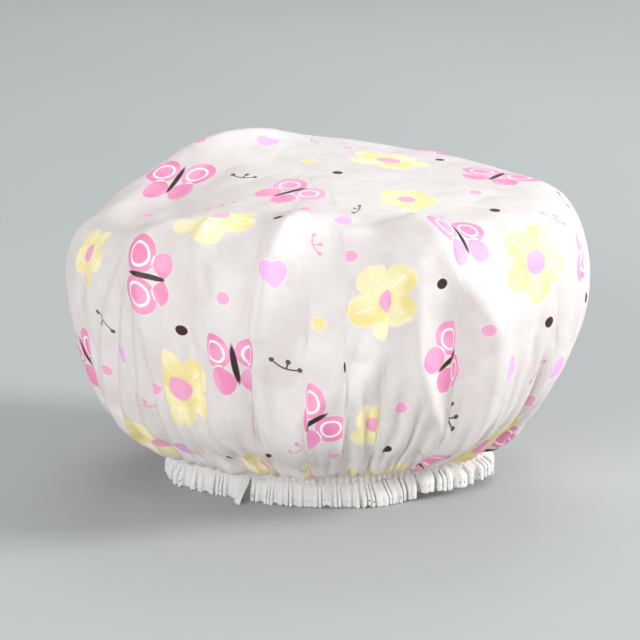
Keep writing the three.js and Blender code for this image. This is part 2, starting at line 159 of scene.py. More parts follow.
# The solids were shifted so that their box is centred on the origin. The elastic's box gives the shift.
elastic_low, elastic_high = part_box("elastic_band")
elastic_ring = ring_line + ELASTIC_OUTER * ring_out
shift = np.array([
    (elastic_low[k] + elastic_high[k]) / 2 - (elastic_ring[:, k].min() + elastic_ring[:, k].max()) / 2
    for k in (0, 1)] + [0.0])
print("shift of the solids", np.round(shift, 5))


def ring_point(turn, offset, height):
    """A point of the hem: the opening's outline at a turn, moved outwards by offset, at a height."""
    turn, offset, height = np.broadcast_arrays(turn, offset, height)
    level = at_turn(ring_line, turn) + offset[..., None] * at_turn(ring_out, turn)
    return np.concatenate([level, height[..., None]], -1) + shift


# %% [markdown]
# The crown is one profile that changes as it goes round: from the apex over the shoulder and the belly to
# the hem. Six control points and a few rounds of corner cutting give each profile, as they do in the
# solids. Sampling by length keeps the rows of the mesh evenly spaced, which the print needs.

# %% The crown's profile
# Eight rows go once round the cap, and each holds the reach and height of the shoulder, belly and low point.
PROFILE_SHARES = np.array([
    [0.92, 0.92, 0.99, 0.61, 0.85, 0.27],
    [0.88, 0.94, 1.00, 0.62, 0.85, 0.26],
    [0.86, 0.99, 1.02, 0.60, 0.86, 0.26],
    [0.74, 1.05, 1.01, 0.62, 0.88, 0.26],
    [0.98, 0.83, 0.94, 0.50, 0.87, 0.22],
    [0.94, 0.90, 1.00, 0.54, 0.90, 0.22],
    [0.92, 0.91, 1.00, 0.54, 0.92, 0.24],
    [0.94, 0.90, 1.00, 0.58, 0.865, 0.25],
])
TOP_REACH_SHARE, TOP_BLEND_SHARE, TOP_SMOOTH_SHARE = 0.55, 0.6, 0.3
LEVEL_POWER, MOST_WAVE_POWER = 0.5, 3
SMOOTHING_ROUNDS = 5


def around_turn(rows, turn):
    """A smooth closed curve through rows that are spread evenly over a turn: the Catmull-Rom cubic."""
    place = (turn % 1) * len(rows)
    first = np.floor(place).astype(int)
    f = (place - first)[..., None]
    a, b, c, d = (rows[(first + step) % len(rows)] for step in (-1, 0, 1, 2))
    bend = (2 * a - 5 * b + 4 * c - d) * f**2 + (3 * b - a - 3 * c + d) * f**3
    return b + 0.5 * ((c - a) * f + bend)


def cut_corners(line, rounds):
    """Each round puts two points, at a quarter and three quarters, in place of every corner."""
    for _ in range(rounds):
        near, far = line[:-1], line[1:]
        cut = np.stack([0.75 * near + 0.25 * far, 0.25 * near + 0.75 * far], 1)
        line = np.concatenate([line[:1], cut.reshape(-1, *line.shape[1:]), line[-1:]])
    return line


def profiles(turns):
    """For each turn, the reach and height along the profile from apex to hem: (points, turns, 2)."""
    m = around_turn(PROFILE_SHARES, turns).T
    reach = egg_reach(turns, CROWN_HALF_WIDTH, CROWN_FRONT_DEPTH, CROWN_BACK_DEPTH)
    shoulder = m[1] * CROWN_HEIGHT
    top_height = CROWN_APEX * (1 - TOP_BLEND_SHARE) + shoulder * TOP_BLEND_SHARE
    same = np.ones_like(reach)
    line = np.array([
        [0 * reach, CROWN_APEX * same],
        [TOP_REACH_SHARE * reach, top_height],
        [m[0] * reach, shoulder],
        [m[2] * reach, m[3] * CROWN_HEIGHT],
        [m[4] * reach, m[5] * CROWN_HEIGHT],
        [opening_reach(turns), HEADING_TOP * same],
    ])
    return cut_corners(line.transpose(0, 2, 1), SMOOTHING_ROUNDS)


def along_profiles(line, shares):
    """Points at shares of each profile's length, and the outward direction there: (rows, turns, 2)."""
    steps = np.linalg.norm(np.diff(line, axis=0), axis=2)
    length = np.concatenate([np.zeros((1, steps.shape[1])), np.cumsum(steps, 0)])
    target = shares[:, None] * length[-1]
    after = np.clip((length[None] < target[:, None]).sum(1), 1, len(line) - 1)
    column = np.broadcast_to(np.arange(line.shape[1]), after.shape)
    before_length, after_length = length[after - 1, column], length[after, column]
    f = ((target - before_length) / (after_length - before_length))[..., None]
    points = line[after - 1, column] * (1 - f) + line[after, column] * f
    points[..., 1] = smooth_top(points[..., 1], shares)
    ahead = unit(np.gradient(points, axis=0))
    return points, np.stack([-ahead[..., 1], ahead[..., 0]], -1), length[-1]


def smooth_top(heights, shares):
    """Heights round the top as waves: the tilt stays, and every other wave fades in away from the apex."""
    waves = np.fft.rfft(heights - CROWN_APEX, axis=1)
    number = np.arange(waves.shape[1])[None]
    reached = np.clip(shares[:, None] / TOP_SMOOTH_SHARE, 0, 1)
    power = np.where(number == 0, LEVEL_POWER, np.minimum(number - 1, MOST_WAVE_POWER))
    fade = np.where(number == 1, 1, reached**power)
    return CROWN_APEX + np.fft.irfft(waves * fade, heights.shape[1], axis=1)


# %% [markdown]
# Limp film holds its shape by its folds: straight crests that run down from the shoulder, with hollows
# beside them. Each fold here is a route down the crown, a rise and two spreads, one to each side. Its
# section is a tent whose flanks fall off by a power, so the crest stays crisp as a crease in film does.

# %% Folds
# A route's points are a turn and a share of the way down. Rise and spreads are shares of FOLD_RISE and
# FOLD_SPREAD, and a negative rise is a hollow.
MAIN_FOLDS = [
    ([(0.833, 0.40), (0.803, 0.46), (0.775, 0.55), (0.750, 0.73)], 0.9, (0.9, 0.6)),
    ([(0.833, 0.40), (0.847, 0.48), (0.872, 0.58), (0.872, 0.82)], 0.9, (0.6, 1.0)),
    ([(0.816, 0.47), (0.816, 0.62), (0.830, 0.73), (0.856, 0.83)], 0.6, (0.5, 0.5)),
    ([(0.793, 0.52), (0.790, 0.72)], -0.4, (0.5, 0.5)),
    ([(0.843, 0.50), (0.850, 0.74)], -0.5, (0.5, 0.5)),
    ([(0.714, 0.34), (0.703, 0.43), (0.700, 0.55)], 0.8, (0.8, 0.5)),
    ([(0.731, 0.39), (0.733, 0.51)], -0.4, (0.5, 0.6)),
    ([(0.678, 0.59), (0.678, 0.76)], 0.6, (0.6, 0.7)),
    ([(0.644, 0.38), (0.656, 0.49)], 0.6, (0.6, 0.6)),
    ([(0.600, 0.43), (0.617, 0.58)], 0.7, (0.7, 0.6)),
    ([(0.757, 0.66), (0.725, 0.74), (0.726, 0.84)], 0.6, (0.6, 0.6)),
    ([(0.500, 0.50), (0.530, 0.70)], 0.4, (0.9, 0.8)),
    ([(0.940, 0.50), (0.930, 0.78)], 0.6, (0.8, 0.9)),
    ([(0.030, 0.48), (0.010, 0.72)], 0.6, (0.7, 0.7)),
    ([(0.100, 0.50), (0.120, 0.74)], -0.4, (0.7, 0.6)),
    ([(0.150, 0.47), (0.165, 0.62), (0.155, 0.82)], 0.9, (0.8, 0.6)),
    ([(0.220, 0.50), (0.215, 0.72)], -0.4, (0.6, 0.5)),
    ([(0.270, 0.46), (0.255, 0.60), (0.270, 0.80)], 0.9, (0.6, 0.8)),
    ([(0.330, 0.50), (0.335, 0.76)], -0.4, (0.6, 0.6)),
    ([(0.370, 0.50), (0.385, 0.72)], 0.8, (0.7, 0.7)),
    ([(0.440, 0.52), (0.435, 0.80)], 0.6, (0.7, 0.7)),
]
FOLD_FADE_SHARE, CREST_POWER = 0.1, 1.3
CREASE_RISE_SHARE, CREASE_SPREAD_SHARE, CREASE_FADE_SHARE = 0.3, 0.34, 0.03
CREASE_POWER, MOST_CREASE = 1, 2.2 * MM


def fold_lift(turns, shares, reach, folds, power=CREST_POWER, fade_share=FOLD_FADE_SHARE):
    """The summed lift of folds: rise x tent of the distance from the crest ^ power x the root of a half
    sine down the route."""
    lift = np.zeros(reach.shape)
    for route, rise, spreads in folds:
        route_turns, downs = np.array(route).T
        fade = (shares - downs[0] + fade_share) / (downs[-1] - downs[0] + 2 * fade_share)
        strength = np.sqrt(np.sin(np.pi * np.clip(fade, 0, 1)))
        crest = np.interp(shares, downs, route_turns)
        aside = turn_between(crest[:, None], turns[None]) * TURN * reach
        spread = FOLD_SPREAD * np.where(aside < 0, spreads[0], spreads[1])
        slope = np.clip(1 - abs(aside) / spread, 0, 1) ** power
        lift += FOLD_RISE * rise * slope * strength[:, None]
    return lift


def creases(folds):
    """A narrow, low fold along the crest of each fold that rises."""
    return [(route, rise * CREASE_RISE_SHARE, (left * CREASE_SPREAD_SHARE, right * CREASE_SPREAD_SHARE))
            for route, rise, (left, right) in folds if rise > 0]


def soft_limit(values, most):
    """Values that stay as they are while they are small and never pass most: the hyperbolic tangent."""
    return most * np.tanh(values / most)


# %% [markdown]
# A flat disc has far more edge than the opening has round, and what is too much goes into folds below
# the shoulder and into tucks near the hem. The print shows this: a flower that meets a tuck is cut,
# because the film between is folded away. So the print's coordinates are the flat disc's own. Between
# tucks they run at their true width, and at each tuck they jump ahead by a share of the spare film.

# %% Spare film: folds, tucks, gathers and the flat coordinates
DISC_RADIUS = 243 * MM
SPARE_SHARES = np.array([(0, 0), (0.46, 0), (0.62, 0.08), (0.80, 0.20), (0.93, 0.30), (1, 0.30)])
TUCK_TURNS = np.array([
    0.012, 0.062, 0.118, 0.176, 0.222, 0.281, 0.331, 0.392, 0.447, 0.503, 0.547, 0.588, 0.626, 0.661,
    0.694, 0.733, 0.762, 0.793, 0.846, 0.881, 0.925, 0.968])
TUCK_JUMP_TURNS, TUCK_HALF_WIDTH_TURNS, TUCK_DEPTH, TUCK_POWER = 0.0035, 0.012, 1.2 * MM, 1.5
TUCK_TOP_SHARE, TUCK_STAGGER_SHARE, TUCK_FULL_SHARE, TUCK_EASE_FROM_SHARE = 0.70, 0.12, 0.92, 0.95
TUCK_EASE, TUCK_LEVELS, TUCK_LEVEL_STEP = 0.7, 7, 5
GATHERS, GATHER_RISE, GATHER_FADE_SHARES, SWAY_TOP_SHARE = 104, 0.8 * MM, (0.88, 0.97), 0.86
LEAST_GATHER, MOST_SWAY = 0.55, 0.25
chance = np.random.default_rng(7)
gather_strength = LEAST_GATHER + (1 - LEAST_GATHER) * chance.random(GATHERS)
gather_sway = (chance.random(GATHERS) - 0.5) * 2 * MOST_SWAY


def smooth_step(low, high, value):
    """A cubic step from 0 at low to 1 at high."""
    f = np.clip((value - low) / (high - low), 0, 1)
    return f * f * (3 - 2 * f)


def spare_share(shares):
    """How much longer than its place the film is round the cap, as a share, at shares of the way down."""
    return np.interp(shares, *SPARE_SHARES.T)


def gather_lift(turns, shares):
    """Close gathers that die out up the crown, as a cosine whose phase sways, and tucks that reach a little
    higher. A tuck is a notch, one less the distance from its middle, to a power. The tucks' tops stand at
    a few levels in turn, and their depth eases off at the hem."""
    sway = at_turn(gather_sway, turns) * smooth_step(1, SWAY_TOP_SHARE, shares)[:, None]
    wave = np.cos(TURN * (GATHERS * turns[None] + sway)) * at_turn(gather_strength, turns)[None]
    lift = GATHER_RISE * smooth_step(*GATHER_FADE_SHARES, shares)[:, None] * wave
    ease = 1 - TUCK_EASE * smooth_step(TUCK_EASE_FROM_SHARE, 1, shares)
    for k, centre in enumerate(TUCK_TURNS):
        top = TUCK_TOP_SHARE + TUCK_STAGGER_SHARE * ((k * TUCK_LEVEL_STEP) % TUCK_LEVELS) / TUCK_LEVELS
        depth = TUCK_DEPTH * smooth_step(top, TUCK_FULL_SHARE, shares) * ease
        away = abs(turn_between(centre, turns)) / TUCK_HALF_WIDTH_TURNS
        lift -= depth[:, None] * (np.clip(1 - away, 0, 1) ** TUCK_POWER)[None]
    return lift


def flat_turns(turns, shares, reach):
    """Where on the flat disc, in turns, each point of the crown comes from: its own turn, blended with a
    staircase that jumps at each tuck, by the share of the disc's width there that is folded away."""
    shown = reach * (1 + spare_share(shares)[:, None]) / (shares[:, None] * DISC_RADIUS)
    spare = np.clip(1 - shown, 0, 1)
    steps = np.clip((turns[None] - TUCK_TURNS[:, None]) / TUCK_JUMP_TURNS + 0.5, 0, 1)
    staircase = steps.mean(0)
    return (1 - spare) * turns[None] + spare * staircase[None]


# %% [markdown]
# Every surface goes into Blender by one helper: a grid of points becomes a mesh of quads, closed round
# the cap or open, with its flat coordinates as a UV map. Arrays go in whole, with foreach_set.

# %% From a grid of points to a mesh
def grid_faces(rows, columns, closed):
    """Quads between neighbouring rows and columns of a grid that is numbered row by row."""
    row = np.arange(rows - 1)[:, None]
    column = np.arange(columns if closed else columns - 1)[None]
    beside = (column + 1) % columns
    corners = [row * columns + column, (row + 1) * columns + column,
               (row + 1) * columns + beside, row * columns + beside]
    return np.stack(np.broadcast_arrays(*corners), -1).reshape(-1, 4)


def make_mesh(name, points, faces, uv_of_corner=None):
    """An object at the origin from an array of points and a list of face arrays."""
    mesh = bpy.data.meshes.new(name)
    loops = np.concatenate([f.ravel() for f in faces])
    sizes = np.concatenate([np.full(len(f), f.shape[1]) for f in faces])
    mesh.vertices.add(len(points))
    mesh.vertices.foreach_set("co", np.ascontiguousarray(points, np.float32).ravel())
    mesh.loops.add(len(loops))
    mesh.loops.foreach_set("vertex_index", loops.astype(np.int32))
    mesh.polygons.add(len(sizes))
    mesh.polygons.foreach_set("loop_start", (np.cumsum(sizes) - sizes).astype(np.int32))
    mesh.polygons.foreach_set("use_smooth", np.ones(len(sizes), bool))
    if uv_of_corner is not None:
        layer = mesh.uv_layers.new(name="flat")
        layer.data.foreach_set("uv", np.ascontiguousarray(uv_of_corner, np.float32).ravel())
    mesh.update(calc_edges=True)
    mesh.validate()
    piece = bpy.data.objects.new(name, mesh)
    scene.collection.objects.link(piece)
    print(name, "has", len(points), "points and", len(sizes), "faces")
    return piece


def flat_grid(along, over):
    """Flat coordinates for the points of a grid, from its columns' and its rows' places, one row a point."""
    return np.stack(np.broadcast_arrays(along, over), -1).reshape(-1, 2)


def finish_piece(piece, material, slot, *nodes):
    """Gives a piece its material and its body, and hides the solids that it stands for. slot is not used."""
    piece.data.materials.append(material)
    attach(piece, "root")
    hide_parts(*nodes)


# %% [markdown]
# Material maths reads best as sums. A Wire stands for a socket, and its operators add Math nodes, so
# `1 - mask` or `a * b` builds the graph. Colours and vectors go through Mix and Vector Math.

# %% Shader maths as Python
class Finish:
    """One material's node tree."""

    def __init__(self, name):
        self.material = bpy.data.materials.new(name)
        self.material.use_nodes = True
        self.tree = self.material.node_tree
        self.tree.nodes.clear()

    def node(self, kind, settings=None, inputs=None, out=0):
        """Adds a node: its settings first, then values or links for its sockets, by name or number."""
        made = self.tree.nodes.new(kind)
        for key, value in (settings or {}).items():
            setattr(made, key, value)
        for key, value in (inputs.items() if isinstance(inputs, dict) else enumerate(inputs or [])):
            if isinstance(value, Wire):
                self.tree.links.new(value.socket, made.inputs[key])
            elif value is not None:
                made.inputs[key].default_value = value
        return Wire(self, made.outputs[out])

    def mix(self, factor, first, second):
        """The first colour where the factor is 0 and the second where it is 1."""
        return self.node("ShaderNodeMix", {"data_type": "RGBA"}, {0: factor, 6: first, 7: second}, out=2)

    def flat(self):
        """The piece's own flat coordinates."""
        return self.node("ShaderNodeUVMap", {"uv_map": "flat"})

    def place(self):
        """The Object coordinates: where a point lies."""
        return self.node("ShaderNodeTexCoord", None, None, out=3)

    def noise(self, place, scale, detail=2.0, roughness=0.5):
        return self.node("ShaderNodeTexNoise", None, {
            "Vector": place, "Scale": scale, "Detail": detail, "Roughness": roughness})

    def crinkles(self, place, scale):
        """Noise folded at its middle value: smooth ground between sharp, wandering lines."""
        return abs(self.noise(place, scale, 1.0) - 0.5)

    def bump(self, height, strength, distance):
        return self.node("ShaderNodeBump", None, {
            "Height": height, "Strength": strength, "Distance": distance})

    def surface(self, sockets):
        return self.node("ShaderNodeBsdfPrincipled", None, sockets)

    def glow(self, colour, normal):
        """Light that comes through from the far side."""
        return self.node("ShaderNodeBsdfTranslucent", None, {"Color": colour, "Normal": normal})

    def blend(self, share, first, second):
        """A mix of two shaders."""
        return self.node("ShaderNodeMixShader", None, [share, first, second])

    def output(self, shader):
        end = self.tree.nodes.new("ShaderNodeOutputMaterial")
        self.tree.links.new(shader.socket, end.inputs["Surface"])
        print("the finish", self.material.name, "has", len(self.tree.nodes), "nodes")
        return self.material


class Wire:
    """A socket with arithmetic."""

    def __init__(self, finish, socket):
        self.finish, self.socket = finish, socket

    def math(self, operation, *others):
        return self.finish.node("ShaderNodeMath", {"operation": operation}, [self, *others])

    def __add__(self, other):
        return self.math("ADD", other)

    def __sub__(self, other):
        return self.math("SUBTRACT", other)

    def __rsub__(self, other):
        return self.finish.node("ShaderNodeMath", {"operation": "SUBTRACT"}, [other, self])

    def __mul__(self, other):
        return self.math("MULTIPLY", other)

    def __truediv__(self, other):
        return self.math("DIVIDE", other)

    def __pow__(self, other):
        return self.math("POWER", other)

    def __abs__(self):
        return self.math("ABSOLUTE")

    __radd__, __rmul__ = __add__, __mul__

    def least(self, other):
        return self.math("MINIMUM", other)

    def most(self, other):
        return self.math("MAXIMUM", other)

    def ramp(self, low, high):
        """0 below low and 1 above high, with a smooth step between. low may be the larger one."""
        return self.finish.node("ShaderNodeMapRange", {"interpolation_type": "SMOOTHSTEP"}, {
            "Value": self, "From Min": low, "From Max": high})

    def vector(self, operation, other=None, out=0):
        return self.finish.node("ShaderNodeVectorMath", {"operation": operation}, [self, other], out=out)

    def parts(self):
        """The vector's x and y."""
        x = self.finish.node("ShaderNodeSeparateXYZ", None, [self])
        return x, Wire(self.finish, x.socket.node.outputs[1])


def paint(red, green, blue):
    """A colour as it is seen on a screen, 0 to 255, turned into the linear values that shaders use."""
    share = np.array([red, green, blue]) / 255
    linear = np.where(share <= 0.04045, share / 12.92, ((share + 0.055) / 1.055) ** 2.4)
    return (*linear.tolist(), 1.0)


# %% [markdown]
# The print is a repeat, as on the roll that the film is cut from: yellow flowers, pink butterflies and
# hearts, dark and pink dots and small sprigs. Each motif wraps its own copy of the repeat round its
# centre, turns and scales it, and then a short formula in x and y says how far out a point lies, with 1
# at the motif's edge. Motifs of one kind share their ink: the least of their distances decides.

# %% The print's motifs
REPEAT = 150 * MM
PRINT_EDGE = 0.35 * MM
# An oval's centre and its two radii, and a line's soft edge from none to full, in the motif's own radius.
PETALS, PETAL_ROUNDNESS, NOTCH_SHARE, PETAL_REACH, FLOWER_MIDDLE = 5, 0.55, 0.42, 0.92, 0.27
PETAL_LINE, PETAL_LINE_START, PETAL_LINE_END = (0.14, 0.05), (0.3, 0.45), (0.8, 0.7)
UPPER_WING, LOWER_WING, BODY = (0.5, 0.28, 0.46, 0.42), (0.36, -0.42, 0.32, 0.34), (0, 0, 0.07, 0.5)
WING_RING, RING_LINE, WING_GAP, WING_GAP_LINE = (0.47, 0.26, 0.27, 0.24), (0.17, 0.08), 1.05, (0.10, 0.04)
HEART_POWER, HEART_RISE, HEART_REACH = 0.6, 0.62, 0.8
STEM_BEND, STEM_LINE, STEM_END = 0.35, (0.08, 0.035), (0.92, 0.86)
TWIG_ACROSS, TWIG_MIDDLE, TWIG_END = 0.1, 0.24, (0.26, 0.22)
END_BERRY, TOP_BERRY, BERRY_EDGE = (0.9, 0.28, 0.16, 0.16), (0.1, 0.5, 0.16, 0.16), (1.15, 0.9)


class Motif:
    """Coordinates centred on one motif of the repeat, in units of the motif's own radius."""

    def __init__(self, finish, flat, centre, size, angle=0.0):
        moved = flat.vector("SUBTRACT", (centre[0] - 0.5, centre[1] - 0.5, 0))
        self.finish, self.angle, self.scale = finish, np.radians(angle), REPEAT / (size * MM)
        self.centred = moved.vector("FRACTION").vector("SUBTRACT", (0.5, 0.5, 0))
        self.r = self.centred.vector("LENGTH", out=1) * self.scale

    def turned(self):
        """The motif's own x and y."""
        mapped = self.finish.node("ShaderNodeMapping", {"vector_type": "POINT"}, {
            "Vector": self.centred, "Rotation": (0, 0, self.angle), "Scale": (self.scale, self.scale, 1)})
        return mapped.parts()


def oval(x, y, across, up, wide, tall):
    """The distance from a point, in an ellipse's own radii."""
    return (((x - across) / wide) ** 2.0 + ((y - up) / tall) ** 2.0).math("SQRT")


def flower(motif):
    """Round petals: the radius over a rosette of the angle. Gives the distances of the petals and the
    middle, and a mask of the pale lines between petals."""
    x, y = motif.turned()
    angle = y.math("ARCTAN2", x) * (PETALS / 2)
    petal = abs(angle.math("COSINE")) ** PETAL_ROUNDNESS
    rosette = motif.r / (petal * NOTCH_SHARE + (1 - NOTCH_SHARE))
    line = abs(angle.math("SINE")).ramp(*PETAL_LINE)
    line = line * motif.r.ramp(*PETAL_LINE_START) * motif.r.ramp(*PETAL_LINE_END)
    return rosette / PETAL_REACH, motif.r / FLOWER_MIDDLE, line


def butterfly(motif):
    """Two pairs of round wings, mirrored by the absolute value of x, and a thin body. Gives the distances
    of the wings and the body, and a mask of the pale lines on the wings."""
    plain_x, y = motif.turned()
    x = abs(plain_x)
    upper, lower = oval(x, y, *UPPER_WING), oval(x, y, *LOWER_WING)
    gap = abs(lower - WING_GAP).ramp(*WING_GAP_LINE) * upper.ramp(1.0, 0.9)
    ring = abs(oval(x, y, *WING_RING) - 1).ramp(*RING_LINE)
    return upper.least(lower), oval(plain_x, y, *BODY), gap.most(ring)


def heart(motif):
    """A heart: the circle's radius with y lowered by a power of |x|."""
    x, y = motif.turned()
    raised = y - (abs(x) ** HEART_POWER) * HEART_RISE
    return (x * x + raised * raised).math("SQRT") / HEART_REACH


def sprig(motif):
    """A stem bent to a parabola, a twig in its middle and three berries, as a mask."""
    x, y = motif.turned()
    stem = abs(y - x * x * STEM_BEND).ramp(*STEM_LINE) * abs(x).ramp(*STEM_END)
    twig = abs(x - TWIG_ACROSS).ramp(*STEM_LINE) * abs(y - TWIG_MIDDLE).ramp(*TWIG_END)
    berries = oval(abs(x), y, *END_BERRY).least(oval(x, y, *TOP_BERRY))
    return stem.most(twig).most(berries.ramp(*BERRY_EDGE))


# %% [markdown]
# The film itself is milky: it scatters most light back, lets some through, and shines softly. A mix of a
# glossy white surface and a translucent one does that on a single sheet. Where there is ink, less light
# comes through. A fine bump gives the matte embossing, and noise that is folded at its middle gives the
# wandering creases that a film keeps from its packet. Ink goes on in layers, each over the last.

# %% The printed film
MILK, CLEAR_MILK, HALO = paint(246, 241, 238), paint(240, 232, 229), paint(255, 249, 244)
YELLOW, DEEP_YELLOW = paint(253, 242, 190), paint(246, 226, 150)
PINK, DEEP_PINK, LILAC = paint(250, 172, 208), paint(244, 144, 188), paint(242, 184, 234)
BROWN = paint(52, 8, 12)

# A motif's place in the repeat, its radius in mm and the degrees that it is turned by.
FLOWERS = [((0.20, 0.24), 21, 10), ((0.66, 0.60), 20, 40), ((0.24, 0.80), 15, 75)]
BUTTERFLIES = [((0.52, 0.14), 19, 28), ((0.40, 0.52), 17, -40), ((0.88, 0.86), 18, 62)]
HEARTS = [((0.80, 0.32), 7, 15), ((0.05, 0.56), 6, -30)]
BROWN_DOTS = [((0.37, 0.34), 2.5), ((0.84, 0.52), 2.5), ((0.50, 0.76), 2.4), ((0.03, 0.03), 2.5)]
PINK_DOTS = [((0.07, 0.38), 3), ((0.60, 0.32), 2.8), ((0.44, 0.92), 3), ((0.92, 0.68), 2.6)]
YELLOW_DOTS = [((0.94, 0.16), 3), ((0.22, 0.56), 2.8)]
BROWN_SPRIGS = [((0.73, 0.05), 7, 35), ((0.10, 0.67), 6, -70)]
PINK_SPRIGS = [((0.68, 0.80), 7, -20), ((0.95, 0.42), 6, 80)]

# For each kind of shape, in mm: the radius that its edge is measured by, and the width of its pale halo.
PETAL_EDGE, MIDDLE_EDGE, WING_EDGE, BODY_EDGE, HEART_EDGE, DOT_EDGE = (
    (20, 0.9), (6, 0), (16, 0.8), (2, 0), (6, 0.6), (3, 0.7))
PRINT_REACH, PRINT_FADE, HALO_SHARE, PETAL_LINE_SHARE = 240 * MM, 2.25 * MM, 0.75, 0.7
# How fine each kind of noise is, in one repeat, and how high it stands, as a share of the bump's depth.
CLOUDS, EMBOSSING, CRUMPLES, LONG_CREASES, SHORT_CREASES = 9.0, 260.0, 14.0, 3.6, 9.0
EMBOSS_RISE, CRUMPLE_RISE, LONG_RISE, SHORT_RISE = 0.01, 0.1, 2.2, 0.7
BUMP_STRENGTH, BUMP_DEPTH, FILM_ROUGHNESS, ROUGHER, SMOOTHER = 0.5, 3.4 * MM, 0.52, 0.1, 0.1
INK_GLOW, FILM_GLOW, FILM_CLEAR = 0.02, 0.17, 0.06


class Print:
    """The film's colour, which each layer of ink covers where its mask is 1, and where it is bare of ink."""

    def __init__(self, finish, flat, ground):
        self.finish, self.flat, self.colour, self.bare = finish, flat, ground, None
        outermost, full = PRINT_REACH / REPEAT, (PRINT_REACH - PRINT_FADE) / REPEAT
        self.printed = flat.vector("LENGTH", out=1).ramp(outermost, full)

    def motifs(self, places):
        return [Motif(self.finish, self.flat, *place) for place in places]

    def cover(self, mask, ink):
        self.colour = self.finish.mix(mask * self.printed, self.colour, ink)

    def shapes(self, distances, edge, ink):
        """Ink inside the distance 1, on a slightly wider pale ground if there is a halo."""
        distance = reduce(Wire.least, distances)
        size, halo = edge
        soft = PRINT_EDGE / (size * MM)
        if halo:
            wide = 1 + halo / size
            self.cover(distance.ramp(wide + soft, wide - soft) * HALO_SHARE, HALO)
        mask = distance.ramp(1 + soft, 1 - soft)
        self.cover(mask, ink)
        self.bare = self.bare.least(1 - mask) if self.bare else 1 - mask

    def lines(self, masks, share):
        """Pale lines on the ink that lies below them."""
        self.cover(reduce(Wire.most, masks).ramp(0.2, 0.8) * share, HALO)


def film_material():
    finish = Finish("printed_film")
    flat = finish.flat()
    cloud = finish.noise(flat, CLOUDS)
    layers = Print(finish, flat, finish.mix(cloud.ramp(0.35, 0.65), CLEAR_MILK, MILK))
    petals, middles, lines = zip(*map(flower, layers.motifs(FLOWERS)))
    layers.shapes(petals, PETAL_EDGE, finish.mix(cloud.ramp(0.42, 0.62), YELLOW, DEEP_YELLOW))
    layers.lines(lines, PETAL_LINE_SHARE)
    layers.shapes(middles, MIDDLE_EDGE, PINK)
    wings, bodies, lines = zip(*map(butterfly, layers.motifs(BUTTERFLIES)))
    layers.shapes(wings, WING_EDGE, finish.mix(cloud.ramp(0.36, 0.6), PINK, DEEP_PINK))
    layers.lines(lines, 1)
    layers.shapes(bodies, BODY_EDGE, BROWN)
    layers.shapes(map(heart, layers.motifs(HEARTS)), HEART_EDGE, LILAC)
    for dots, ink in ((BROWN_DOTS, BROWN), (PINK_DOTS, PINK), (YELLOW_DOTS, DEEP_YELLOW)):
        layers.shapes([motif.r for motif in layers.motifs(dots)], DOT_EDGE, ink)
    for sprigs, ink in ((BROWN_SPRIGS, BROWN), (PINK_SPRIGS, PINK)):
        for motif in layers.motifs(sprigs):
            layers.cover(sprig(motif), ink)

    crumple = finish.noise(flat, CRUMPLES, 3.0, 0.55)
    fine = finish.noise(flat, EMBOSSING, 1.0) * EMBOSS_RISE + crumple * CRUMPLE_RISE
    long, short = finish.crinkles(flat, LONG_CREASES), finish.crinkles(flat, SHORT_CREASES)
    normal = finish.bump(fine + (long * LONG_RISE + short * SHORT_RISE), BUMP_STRENGTH, BUMP_DEPTH)
    roughness = FILM_ROUGHNESS + crumple * ROUGHER - layers.bare * SMOOTHER
    surface = finish.surface({
        "Base Color": layers.colour, "Roughness": roughness, "Normal": normal,
        "IOR": 1.48, "Coat Weight": 0.1, "Coat Roughness": 0.3})
    clear = finish.node("ShaderNodeBsdfTransparent", None, {"Color": (1, 1, 1, 1)})
    sheet = finish.blend(INK_GLOW + layers.bare * FILM_GLOW, surface, finish.glow(MILK, normal))
    return finish.output(finish.blend(layers.bare * FILM_CLEAR, sheet, clear))


# %% [markdown]
# Formulas alone make a film that looks carved. So the film is let go as cloth. It starts as the bag that
# was cut, wider than the crown below the shoulder. Each row is then drawn to its place on the crown, hard
# at the top and at the hem and softly between, while its weight pulls it down. The main crests are held
# more firmly. What is too long buckles, and that gives the hanging folds and the gathers above the hem
# that no formula has. Then the film's broad form is set back to the solid's, and ripples are smoothed.

# %% Letting the film go
SIM_COLUMNS, SIM_ROWS, SIM_FRAMES, DRAWN_BY_FRAME, FIRST_ROW_SHARE = 208, 64, 30, 10, 0.012
HOLD_SHARES = np.array([(0, 0.9), (0.3, 0.9), (0.42, 0.6), (0.6, 0.3), (0.9, 0.3), (0.985, 0.9), (1, 1)])
FOLD_BOOST, TAUT_SHARE, LEAST_DROP_SHARE, MOST_MOVE, BROAD_CYCLES = 1.3, 0.985, 0.02, 8 * MM, 7
CREST_HOLD, APEX_HOLD, HOLD_LEVELS, MOST_LIFT = 0.5, 0.9, 20, 12 * MM
CLOTH_QUALITY, BENDING_STIFFNESS, HOLD_STIFFNESS = 5, 5, 0.5
apex = np.array([*shift[:2], CROWN_APEX])


def in_space(line, turns):
    """Vectors in space from reaches and heights in columns round the cap."""
    across, along = facing(turns)
    return np.stack([line[..., 0] * across, line[..., 0] * along, line[..., 1]], -1)


def round_the_cap(line, turns):
    """Points in space from reaches and heights in columns round the cap."""
    return in_space(line, turns) + shift


def with_apex(rows):
    """A grid's rows in one list, with the apex as its last point."""
    return np.concatenate([rows.reshape(-1, 3), apex[None]])


def crown_faces(rows, columns):
    """The grid's quads, and a fan of triangles from the apex, which is the last point, to its first row."""
    ring = np.arange(columns)
    fan = np.stack([np.full(columns, rows * columns), ring, (ring + 1) % columns], 1)
    return [grid_faces(rows, columns, True), fan]


